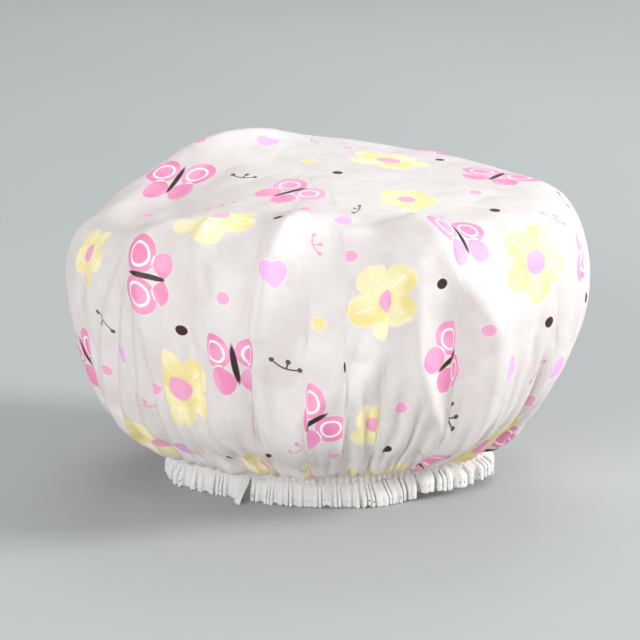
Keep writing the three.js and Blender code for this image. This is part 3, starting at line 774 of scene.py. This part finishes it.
def let_go(cut, goal, hold):
    """Runs Blender's cloth from the cut's shape to the goal's, and returns where the film came to rest.
    A move from the goal is limited smoothly, by the hyperbolic tangent, to MOST_MOVE."""
    rows, columns = goal.shape[:2]
    bag = make_mesh("bag", with_apex(cut), crown_faces(rows, columns))
    bag.shape_key_add(name="cut")
    drawn = bag.shape_key_add(name="drawn")
    drawn.data.foreach_set("co", with_apex(goal).astype(np.float32).ravel())
    for value, frame_number in ((0, 1), (1, DRAWN_BY_FRAME)):
        drawn.value = value
        drawn.keyframe_insert("value", frame=frame_number)
    held = bag.vertex_groups.new(name="held")
    levels = np.round(hold.ravel() * HOLD_LEVELS).astype(int)
    for level in np.unique(levels):
        held.add(np.flatnonzero(levels == level).tolist(), float(level) / HOLD_LEVELS, "REPLACE")
    held.add([rows * columns], APEX_HOLD, "REPLACE")
    cloth = bag.modifiers.new("cloth", "CLOTH")
    cloth.settings.quality = CLOTH_QUALITY
    cloth.settings.bending_stiffness = BENDING_STIFFNESS
    cloth.settings.vertex_group_mass = "held"
    cloth.settings.pin_stiffness = HOLD_STIFFNESS
    cloth.collision_settings.use_collision = False
    for frame_number in range(1, SIM_FRAMES + 1):
        scene.frame_set(frame_number)
    settled = bag.evaluated_get(bpy.context.evaluated_depsgraph_get()).to_mesh()
    points = np.empty((rows * columns + 1) * 3, np.float32)
    settled.vertices.foreach_get("co", points)
    scene.frame_set(1)
    mesh = bag.data
    action = mesh.shape_keys.animation_data.action
    bpy.data.objects.remove(bag)
    bpy.data.meshes.remove(mesh)
    bpy.data.actions.remove(action)
    move = points.reshape(-1, 3)[:-1].reshape(goal.shape) - goal
    far = np.linalg.norm(move, axis=2)[..., None]
    print("film: it moved by up to", round(float(far.max()) * 1000, 1), "mm")
    return goal + move * MOST_MOVE * np.tanh(far / MOST_MOVE) / np.maximum(far, 1e-9)


def without_ripples(relief):
    """Blends each row with its neighbours, 1 to 2 to 1: what runs down stays, what lies across goes."""
    return np.concatenate([relief[:1], (relief[:-2] + 2 * relief[1:-1] + relief[2:]) / 4, relief[-1:]])


def broad_part(values):
    """What varies slowly round the cap: each row's Fourier term k weighs exp(-(k / BROAD_CYCLES)^2)."""
    terms = np.fft.rfft(values, axis=1)
    terms *= np.exp(-(np.arange(terms.shape[1]) / BROAD_CYCLES) ** 2)
    return np.fft.irfft(terms, values.shape[1], 1)


def between(before, first, second, after):
    """The four-point rule for a smooth midpoint."""
    return (9 * (first + second) - before - after) / 16


def finer(points):
    """Twice as many columns round the cap, and a new row between each two."""
    middle = between(np.roll(points, 1, 1), points, np.roll(points, -1, 1), np.roll(points, -2, 1))
    wide = np.stack([points, middle], 2).reshape(len(points), -1, 3)
    padded = np.concatenate([2 * wide[:1] - wide[1:2], wide, 2 * wide[-1:] - wide[-2:-1]])
    new_rows = between(padded[:-3], padded[1:-2], padded[2:-1], padded[3:])
    tall = np.stack([wide[:-1], new_rows], 1).reshape(-1, *wide.shape[1:])
    return np.concatenate([tall, wide[-1:]])


def cut_bag(line, shares, turns):
    """The bag as it was cut. Each row is as wide as its spare film makes it, and lies below the last row by
    what its step along the profile leaves: the root of the step's square less the widening's square."""
    wide = line[..., 0] * (1 + spare_share(shares)[:, None])
    steps = np.linalg.norm(np.diff(line, axis=0), axis=2)
    left = (TAUT_SHARE * steps) ** 2 - np.diff(wide, axis=0) ** 2
    drop = np.sqrt(np.maximum(left, (LEAST_DROP_SHARE * steps) ** 2))
    fall = np.concatenate([np.zeros((1, len(turns))), np.cumsum(drop, 0)])
    return round_the_cap(np.stack([wide, CROWN_APEX - fall], -1), turns)


def settled_crown():
    """The film from apex to hem as it came to rest, in rows of points."""
    turns, shares = np.arange(SIM_COLUMNS) / SIM_COLUMNS, np.linspace(FIRST_ROW_SHARE, 1, SIM_ROWS)
    line, out, _ = along_profiles(profiles(turns), shares)
    lift = fold_lift(turns, shares, line[..., 0], MAIN_FOLDS)
    solid = round_the_cap(line + out * lift[..., None], turns)
    lift = soft_limit(FOLD_BOOST * lift, MOST_LIFT)
    crown = round_the_cap(line + out * lift[..., None], turns)
    hold = np.interp(shares, *HOLD_SHARES.T)[:, None] + CREST_HOLD * np.maximum(lift, 0) / FOLD_RISE
    crown = let_go(cut_bag(line, shares, turns), crown, np.minimum(hold, 1))
    outward = in_space(out, turns)
    crown -= outward * broad_part(((crown - solid) * outward).sum(2))[..., None]
    plain = round_the_cap(line, turns)
    return finer(plain + without_ripples(crown - plain))


# %% [markdown]
# The settled film, with its rows and columns doubled, gets a sharp crease along each crest, its close
# gathers, and then its hem. Above the hem it rolls out over the seam, and the hem itself hangs over the
# lace in a slight wave. Its flat coordinates are those of the disc that it was cut from.

# %% The film
HEM_ROWS, HEM_SPREAD, HEM_FLARE = 4, 0.3 * MM, 0.4 * MM
HEM_WAVES = [(9, 0.5 * MM), (23, 0.3 * MM)]
ROLL_FROM_SHARE, ROLL_OUT, ROLL_DOWN, LEAST_ROLL = 0.88, 3 * MM, 4.5 * MM, 0.5
ROLL_CYCLES = (3, 5, 8, 13)
roll_chance = np.random.default_rng(8)


def wander(turns, cycles, chance_source):
    """A smooth random closed curve between -1 and 1: a few sines of whole cycles, with random phases."""
    phases = chance_source.random(len(cycles)) * TURN
    return sum(np.sin(TURN * n * turns + phase) for n, phase in zip(cycles, phases)) / len(cycles)


def hem_roll(turns, shares):
    """The film rolls out and down over the seam just above the hem: a squared half sine along the profile,
    whose strength wanders round the cap between LEAST_ROLL and one."""
    strength = (1 + LEAST_ROLL) / 2 + (1 - LEAST_ROLL) / 2 * wander(turns, ROLL_CYCLES, roll_chance)
    roll = np.sin(np.pi * np.clip((shares - ROLL_FROM_SHARE) / (1 - ROLL_FROM_SHARE), 0, 1)) ** 2
    way = in_space(np.array([ROLL_OUT, -ROLL_DOWN]) + np.zeros((len(turns), 2)), turns)
    return roll[:, None, None] * (strength[:, None] * way)[None]


def disc_corners(turns, row_shares, reach, disc_radius):
    """Each face corner's place on the flat disc, in repeats of the print, for the crown's quads and fan."""
    # The grid's first column comes again at the end, a full turn on.
    turns_again, reach_again = np.append(turns, 1.0), np.concatenate([reach, reach[:, :1]], 1)
    angle = flat_turns(turns_again, row_shares, reach_again) * TURN
    radius = row_shares[:, None] * disc_radius / REPEAT
    flat = np.stack([radius * np.cos(angle), radius * np.sin(angle)], -1)
    quads = np.stack([flat[:-1, :-1], flat[1:, :-1], flat[1:, 1:], flat[:-1, 1:]], 2)
    fan = np.stack([np.zeros((len(turns), 2)), flat[0, :-1], flat[0, 1:]], 1)
    return np.concatenate([quads.reshape(-1, 2), fan.reshape(-1, 2)])


def film_piece():
    crown = settled_crown()
    rows, columns = crown.shape[:2]
    turns, shares = np.arange(columns) / columns, np.linspace(FIRST_ROW_SHARE, 1, rows)
    line, out, lengths = along_profiles(profiles(turns), shares)
    sharp = fold_lift(turns, shares, line[..., 0], creases(MAIN_FOLDS), CREASE_POWER, CREASE_FADE_SHARE)
    lift = gather_lift(turns, shares) + soft_limit(sharp, MOST_CREASE)
    crown += in_space(out, turns) * lift[..., None]
    crown += hem_roll(turns, shares)

    down = np.linspace(0, 1, HEM_ROWS + 1)[1:, None]
    ripple = np.cos(TURN * GATHERS * turns) * at_turn(gather_strength, turns)
    crown[-1] = ring_point(turns, GATHER_RISE * ripple, HEADING_TOP)
    wave = sum(rise * np.sin(TURN * n * turns) for n, rise in HEM_WAVES)
    hem = ring_point(turns[None], (GATHER_RISE + HEM_SPREAD * down) * ripple + HEM_FLARE * down,
                     HEADING_TOP - HEM_LAP * down + down * wave)

    disc_radius = lengths.mean()
    row_shares = np.concatenate([shares, 1 + down[:, 0] * HEM_LAP / disc_radius])
    reach = np.concatenate([line[..., 0], np.repeat(line[-1:, :, 0], HEM_ROWS, 0)])
    uv = disc_corners(turns, row_shares, reach, disc_radius)
    return make_mesh("film_crown", with_apex(np.concatenate([crown, hem])),
                     crown_faces(rows + HEM_ROWS, columns), uv)


film = film_piece()
finish_piece(film, film_material(), "film", "crown_film")

# %% [markdown]
# The lace is knitted, and cut at least twice as long as the hem. Sewn on, its heading lies flat against
# the film, and below the seam its spare length swings out and back in soft pleats, each a little unlike
# the next. Little picots edge its foot, a row of eyelets lies above them, and one of its ends turns out
# in front of the other. At the right of the front the foot is lifted off the floor.

# %% The lace
PLEATS, PICOTS, EYELET_PITCH, EYELET_ROW = 86, 388, 8, 4
LACE_COLUMNS, LACE_ROWS = 1664, 20
LACE_JOIN, LACE_END_GAP, YARN_THICKNESS = 0.632, 1 * MM, 0.3 * MM
# Once round the cap: how deep the pleats are, how far they flare, and how far down the strip they start.
PLEAT_SHARES = np.array([[1.5], [1.1], [1.1], [1.0], [1.1], [0.7], [0.6], [1.6]])
FLARE_SHARES = np.array([[2.2], [1.2], [1.0], [1.0], [1.4], [1.0], [1.2], [2.4]])
PLEAT_TOP_SHARES = np.array([[0.05], [0.08], [0.08], [0.08], [0.12], [0.24], [0.3], [0.1]])
PLEAT_OPENING_SHARE, LEAST_PLEAT, HEADING_PLEAT, LOBE_SHARE, NECK_SHARE = 0.65, 0.6, 0.15, 0.2, 0.3
PLEAT_DRIFT, PLEAT_CYCLES, FLARE_POWER, TAB_TOP_SHARE = 1.5, (7, 13, 19, 29, 41), 1.3, 0.35
LIFTED_TURNS, LIFT_STARTS, LIFT_ENDS, FOOT_LIFT = (0.882, 0.98), 0.006, 0.02, 4 * MM
HANG, HANG_RANGE, HANG_CYCLES = 1.6 * MM, (0.1, 0.9), (9, 17, 31, 53)
PICOT_RISE, LEAST_PICOT, PICOT_SPAN, PICOT_TOP_SHARE = 0.7 * MM, 0.3, 1.4, 0.88
# The pleats' numbers wander past both ends of the strip. STRIP_FLAT is its size in flat coordinates.
SPARE_PLEATS, STRIP_FLAT = 4, (2, 0.04)
lace_chance = np.random.default_rng(21)


def round_share(rows, turns):
    """One number for each place round the cap, from a table with one column."""
    return around_turn(rows, turns)[:, 0]


def lace_piece():
    """The strip, by u round the cap and v down from heading to foot. Pleats: a wave whose phase and depth
    wander, moved along the hem by twice its frequency, which makes each crest round and each neck tight."""
    u = np.linspace(LACE_END_GAP / ring_length, 1, LACE_COLUMNS + 1)
    v = np.linspace(0, 1, LACE_ROWS + 1)[:, None]
    turns = LACE_JOIN + u
    phase = PLEATS * u + PLEAT_DRIFT * wander(u, PLEAT_CYCLES, lace_chance)
    pleat = np.floor(phase).astype(int) + SPARE_PLEATS
    each = LEAST_PLEAT + (1 - LEAST_PLEAT) * lace_chance.random(PLEATS + 2 * SPARE_PLEATS + 1)[pleat]
    depth = PLEAT_DEPTH * round_share(PLEAT_SHARES, turns) * each
    below = smooth_step(0, 1, (v - round_share(PLEAT_TOP_SHARES, turns)) / PLEAT_OPENING_SHARE)
    lobe = np.cos(TURN * phase) * (1 - LOBE_SHARE + LOBE_SHARE * np.cos(TURN * phase))
    tab = TAB_FLARE * smooth_step(1 - TAB_LENGTH / ring_length, 1, u) * smooth_step(TAB_TOP_SHARE, 1, v)
    flare = FRILL_FLARE * round_share(FLARE_SHARES, turns) * below**FLARE_POWER
    outward = flare + tab + depth * lobe * (HEADING_PLEAT + (1 - HEADING_PLEAT) * below)
    neck = NECK_SHARE / PLEATS * below * np.sin(2 * TURN * phase) / TURN * 2
    start, end = LIFTED_TURNS
    lifted = (smooth_step(start - LIFT_STARTS, start + LIFT_STARTS, turns % 1)
              - smooth_step(end - LIFT_ENDS, end + LIFT_ENDS, turns % 1))
    uneven = HANG * smooth_step(*HANG_RANGE, wander(u, HANG_CYCLES, lace_chance))
    tall = PICOT_RISE * (LEAST_PICOT + PICOT_SPAN * lace_chance.random(PICOTS + 1))
    picot = tall[np.floor(PICOTS * u + 0.5).astype(int)] * (1 - abs(np.sin(np.pi * PICOTS * u)))
    height = (HEADING_TOP * (1 - v) + (FOOT_LIFT * lifted + uneven) * below
              + picot * smooth_step(PICOT_TOP_SHARE, 1, v))
    points = ring_point(turns + neck, LACE_MIDDLE + outward, height)

    quads = grid_faces(LACE_ROWS + 1, LACE_COLUMNS + 1, False)
    row, column = np.divmod(quads[:, 0], LACE_COLUMNS + 1)
    eyelet = (LACE_ROWS - row == EYELET_ROW) & (column % EYELET_PITCH == 0)
    kept = quads[~eyelet]
    flat = flat_grid(u * STRIP_FLAT[0], v * STRIP_FLAT[1])
    piece = make_mesh("ruffled_lace", points.reshape(-1, 3), [kept], flat[kept.ravel()])
    lengths = np.linalg.norm(np.diff(points, axis=1), axis=2).sum(1)
    print("lace: its length at heading and foot", np.round(lengths[[0, -1]], 3))
    thicken = piece.modifiers.new("thickness", "SOLIDIFY")
    thicken.thickness, thicken.offset = YARN_THICKNESS, 0
    return piece


lace = lace_piece()

# %% [markdown]
# The lace's yarn is too thin for a mesh, so its stitches are bump. A sine across the strip times a sine
# down it gives knots in rows and columns, as knitting has them, and noise frays them into fuzz. The yarn
# is matt and white, with a soft sheen at grazing angles, and a little light comes through it.

# %% The lace's yarn
WALES, COURSES, FUZZ = 3400.0, 1150.0, 320.0
# The knots' share of the yarn's colour is painted shade: it darkens the yarn between the knots.
KNOT_RISE, FUZZ_RISE, KNOT_PAINTED_SHADE, FUZZ_TONE, YARN_DEPTH, YARN_GLOW = 0.6, 1.2, 0.3, 0.7, 0.5 * MM, 0.12
YARN_SHADE, YARN_LIGHT = paint(240, 238, 234), paint(255, 254, 252)


def lace_material():
    finish = Finish("knitted_lace")
    flat = finish.flat()
    across, down = flat.parts()
    knots = (across * WALES).math("SINE") * (down * COURSES).math("SINE") * 0.5 + 0.5
    fuzz = finish.noise(flat, FUZZ, 3.0, 0.7)
    normal = finish.bump(knots * KNOT_RISE + fuzz * FUZZ_RISE, 0.6, YARN_DEPTH)
    # The colour is painted lighter on the raised knots and darker between them, as painted shade that
    # follows their bump. It is also lighter where the fuzz noise is high.
    tone = knots * KNOT_PAINTED_SHADE + fuzz.ramp(0.35, 0.6) * FUZZ_TONE
    surface = finish.surface({
        "Base Color": finish.mix(tone, YARN_SHADE, YARN_LIGHT), "Normal": normal,
        "Roughness": 0.85, "Sheen Weight": 0.25})
    return finish.output(finish.blend(YARN_GLOW, surface, finish.glow(YARN_SHADE, normal)))


finish_piece(lace, lace_material(), "lace", "lace_trim")

# %% [markdown]
# The elastic is a woven strip inside the lace. Its ends are lapped and tacked at the back. Its section is
# a flat oblong whose faces are ribbed by the rubber cords inside it, and whose edges are drawn thin. Its
# weave is bump: two crossed sines, close along the strip and wide over it.

# %% The elastic
ELASTIC_JOIN, RING_SIDES, LAP_RAMP_SHARE = 0.25, 52, 0.9
ELASTIC_RIBS, ELASTIC_COLUMNS, RIB_STEPS = 7, 416, 4
GROOVE_SHARE, RIB_SHARE, EDGE_SHARE, EDGE_SLOPE = 0.44, 0.06, 0.45, 12
WEFT_PINCHES, PINCH_SHARE = 260, 0.03
WEFT, WARP, WEAVE_DEPTH = 5200.0, 88.0, 0.2 * MM
LAP_SHIFT = -ELASTIC_THICKNESS - LAYER_GAP
side = 1 / RING_SIDES


def lap_share(turns):
    """How far the strip has stepped inwards, from 0 to 1, a number of turns after its start."""
    return np.clip((turns / side - RING_SIDES + 1) / LAP_RAMP_SHARE, 0, 1)


def elastic_piece():
    """A section of half thickness by height, carried round the hem. Its half thickness is a groove's and a
    rib's, which follows the absolute value of a sine."""
    round_it = np.linspace(0, 1 + ELASTIC_LAP / ring_length, ELASTIC_COLUMNS)[:, None]
    middle = (ELASTIC_OUTER + ELASTIC_INNER) / 2 + LAP_SHIFT * lap_share(round_it)
    up = np.linspace(0, 1, RIB_STEPS * ELASTIC_RIBS + 1)
    rib = (GROOVE_SHARE + RIB_SHARE * abs(np.sin(np.pi * ELASTIC_RIBS * up))) * ELASTIC_THICKNESS
    rib *= np.minimum(1, EDGE_SHARE + EDGE_SLOPE * np.minimum(up, 1 - up))
    thick, high = np.concatenate([rib, -rib[::-1]]), np.concatenate([up, up[::-1]])
    pinch = PINCH_SHARE * np.cos(TURN * WEFT_PINCHES * round_it)
    height = ELASTIC_TOP - ELASTIC_WIDTH + ELASTIC_WIDTH * high
    points = ring_point(ELASTIC_JOIN + round_it, middle + thick * (1 + pinch), height)
    count = len(high)
    cap = np.arange(count // 2 - 1)
    ends = np.stack([cap, cap + 1, count - 2 - cap, count - 1 - cap], 1)
    last = (ELASTIC_COLUMNS - 1) * count
    every = np.concatenate([grid_faces(ELASTIC_COLUMNS, count, True), ends, last + ends[:, ::-1]])
    flat = flat_grid(round_it, high)
    return make_mesh("woven_elastic", points.reshape(-1, 3), [every], flat[every.ravel()])


def elastic_material():
    finish = Finish("woven_elastic")
    along, over = finish.flat().parts()
    weave = (along * WEFT).math("SINE") * (over * WARP).math("SINE")
    normal = finish.bump(weave * 0.5 + 0.5, 0.5, WEAVE_DEPTH)
    # The colour follows the weave's bump. It is painted lighter on the raised crossings and darker in the
    # hollows, as painted shade.
    colour = finish.mix(weave * 0.4 + 0.5, paint(222, 219, 213), paint(244, 243, 240))
    return finish.output(finish.surface({
        "Base Color": colour, "Roughness": 0.8, "Normal": normal, "Sheen Weight": 0.15}))


elastic = elastic_piece()
finish_piece(elastic, elastic_material(), "elastic", "elastic_band")

# %% [markdown]
# One zigzag seam joins film, lace and elastic. Its needle thread lies on the film and its bobbin thread
# on the elastic, and a third thread tacks the elastic's lap. Each is a tube along a path, and the tube's
# section is a small oval that turns as it goes, so the thread looks twisted. All three are the same
# thread, so they share one finish.

# %% The threads
SEAM_ZIGZAGS, SEAM_STEPS, TUBE_SIDES, BEND_STEPS = 104, 16, 6, 9
NEEDLE_OFFSET = LAYER_GAP + THREAD_RADIUS
BOBBIN_OFFSET = ELASTIC_INNER - LAYER_GAP - THREAD_RADIUS
BARTACK_WIDTH, BARTACK_HEIGHT, BARTACK_CLEARANCE, BARTACK_LEGS = 4 * MM, 3.4 * MM, 0.9 * MM, 5
TWIST_LENGTH, OVAL_SHARE, CORNER_SHARE, SWING_SHARE = 0.9 * MM, 0.12, 0.97, 0.94


def tube(name, turns, path, closed):
    """A tube round a path (n, 3): at each point, a twisted oval in the plane across the path."""
    ahead = unit(np.roll(path, -1, 0) - np.roll(path, 1, 0) if closed else np.gradient(path, axis=0))
    outward = np.concatenate([at_turn(ring_out, turns), np.zeros((len(turns), 1))], 1)
    aside = unit(np.cross(ahead, outward))
    out = np.cross(aside, ahead)
    length = np.cumsum(np.linalg.norm(np.diff(path, axis=0, prepend=path[:1]), axis=1))
    twist = length[:, None] / TWIST_LENGTH * TURN / 2
    angle = TURN * np.arange(TUBE_SIDES)[None] / TUBE_SIDES
    radius = THREAD_RADIUS * (1 - OVAL_SHARE + OVAL_SHARE * np.cos(2 * (angle - twist)))
    points = (path[:, None] + (radius * np.cos(angle))[..., None] * out[:, None]
              + (radius * np.sin(angle))[..., None] * aside[:, None])
    faces = [grid_faces(len(path) + closed, TUBE_SIDES, True) % (len(path) * TUBE_SIDES)]
    if not closed:
        end = np.arange(TUBE_SIDES)[None]
        faces += [end, (len(path) - 1) * TUBE_SIDES + end[:, ::-1]]
    return make_mesh(name, points.reshape(-1, 3), faces)


def seam_path(offset):
    """A zigzag with rounded corners: the arcsine of a slightly shrunk sine."""
    turns = np.arange(SEAM_ZIGZAGS * SEAM_STEPS) / (SEAM_ZIGZAGS * SEAM_STEPS)
    swing = np.arcsin(CORNER_SHARE * np.sin(TURN * (SEAM_ZIGZAGS * turns - 0.25))) / np.arcsin(CORNER_SHARE)
    return turns, ring_point(turns, offset(turns), SEAM_HEIGHT + SEAM_HALF_SWING * SWING_SHARE * swing)


def needle_offset(turns):
    """The same all round: on the film."""
    return np.full(len(turns), NEEDLE_OFFSET)


def bobbin_offset(turns):
    """On the elastic's inner face, and one layer further in where the elastic is lapped."""
    after = (turns - ELASTIC_JOIN) % 1
    landing = ELASTIC_LAP / ring_length + side / 4
    share = np.where(after < 0.5, 1 - smooth_step(landing, landing + side, after), lap_share(after))
    return BOBBIN_OFFSET + LAP_SHIFT * share


def bartack_path():
    """Straight legs joined by half circles, from the first leg's foot to the last leg's head."""
    pitch = BARTACK_WIDTH / BARTACK_LEGS
    bend = pitch / 2
    straight = BARTACK_HEIGHT / 2 - bend - THREAD_RADIUS
    angle = np.linspace(0, np.pi, BEND_STEPS)
    legs = np.arange(BARTACK_LEGS - 1)[:, None]
    way = np.where(legs % 2, -1, 1)
    along = legs * pitch + bend * (1 - np.cos(angle))
    height = way * (straight + bend * np.sin(angle))
    along = np.concatenate([[0], along.ravel(), [(BARTACK_LEGS - 1) * pitch]]) - BARTACK_WIDTH / 2 + bend
    height = np.concatenate([[-straight], height.ravel(), [straight if BARTACK_LEGS % 2 else -straight]])
    centre = SEAM_HEIGHT - SEAM_HALF_SWING - BARTACK_CLEARANCE - BARTACK_HEIGHT / 2
    turns = ELASTIC_JOIN + (ELASTIC_LAP / 2 + along) / ring_length
    return turns, ring_point(turns, BOBBIN_OFFSET + LAP_SHIFT, centre + height)


def thread_material():
    finish = Finish("sewing_thread")
    strands = finish.noise(finish.place(), 900.0, 2.0)
    colour = finish.mix(strands, paint(232, 229, 224), paint(250, 249, 247))
    return finish.output(finish.surface({"Base Color": colour, "Roughness": 0.55, "Sheen Weight": 0.2}))


sewing_thread = thread_material()
for name, route, closed, node in (
        ("needle_seam", seam_path(needle_offset), True, "needle_thread"),
        ("bobbin_seam", seam_path(bobbin_offset), True, "bobbin_thread"),
        ("lap_tack", bartack_path(), False, "elastic_bartack")):
    finish_piece(tube(name, *route, closed), sewing_thread, "thread", node)

# %% [markdown]
# The floor and the backdrop are one sweep: a flat floor that curves up behind the cap.

# %% The stage
FLOOR_FRONT, FLOOR_BACK, SWEEP_BEND, BACKDROP_TOP, SWEEP_HALF_WIDTH = -1.8, 1.6, 0.6, 3.0, 3.0
SWEEP_STEPS, SWEEP_COLUMNS = 24, 3


def stage_material():
    finish = Finish("studio_grey")
    tone = finish.noise(finish.place(), 1.5, 2.0).ramp(0.3, 0.7)
    colour = finish.mix(tone, paint(176, 179, 179), paint(180, 183, 183))
    return finish.output(finish.surface({"Base Color": colour, "Roughness": 0.8}))


def sweep():
    """A profile from the front edge of the floor to the top of the backdrop, carried along X."""
    angle = np.linspace(0, np.pi / 2, SWEEP_STEPS)
    curve = np.stack([FLOOR_BACK + SWEEP_BEND * np.sin(angle), SWEEP_BEND * (1 - np.cos(angle))], 1)
    profile = np.concatenate([[[FLOOR_FRONT, 0]], curve, [[FLOOR_BACK + SWEEP_BEND, BACKDROP_TOP]]])
    across = np.linspace(-SWEEP_HALF_WIDTH, SWEEP_HALF_WIDTH, SWEEP_COLUMNS)
    points = np.stack(np.broadcast_arrays(across[None], profile[:, :1], profile[:, 1:]), -1)
    faces = grid_faces(len(profile), SWEEP_COLUMNS, False)[:, ::-1]
    floor = make_mesh("sweep", points.reshape(-1, 3), [faces])
    floor.data.materials.append(stage_material())


sweep()

# %% [markdown]
# The light is that of a product photograph: one large soft lamp from the right, a weak one from above and
# behind, another low at the front that fills the shadows, and a pale world for the rest.

# %% Lamps and world
# Each lamp's name, place, height of aim above the floor, size and watts.
LAMPS = [("key", (2.6, -0.1, 1.15), 0.06, 0.8, 76),
         ("back", (0.2, 1.2, 1.8), 0.1, 1.2, 11),
         ("front", (-1.2, -2.0, 0.8), 0.06, 1.0, 30)]
for name, place, aim, size, watts in LAMPS:
    data = bpy.data.lights.new(name, "AREA")
    data.size, data.energy = size, watts
    lamp = bpy.data.objects.new(name, data)
    lamp.location = place
    lamp.rotation_euler = (Vector((0, 0, aim)) - Vector(place)).to_track_quat("-Z", "Y").to_euler()
    scene.collection.objects.link(lamp)

world = bpy.data.worlds.new("world")
scene.world = world
world.use_nodes = True
sky = world.node_tree.nodes["Background"].inputs
sky["Color"].default_value, sky["Strength"].default_value = (0.93, 0.96, 1, 1), 0.57
scene.view_settings.view_transform = "Standard"
print(len(LAMPS), "lamps of", sum(watts for *_, watts in LAMPS), "W in all")
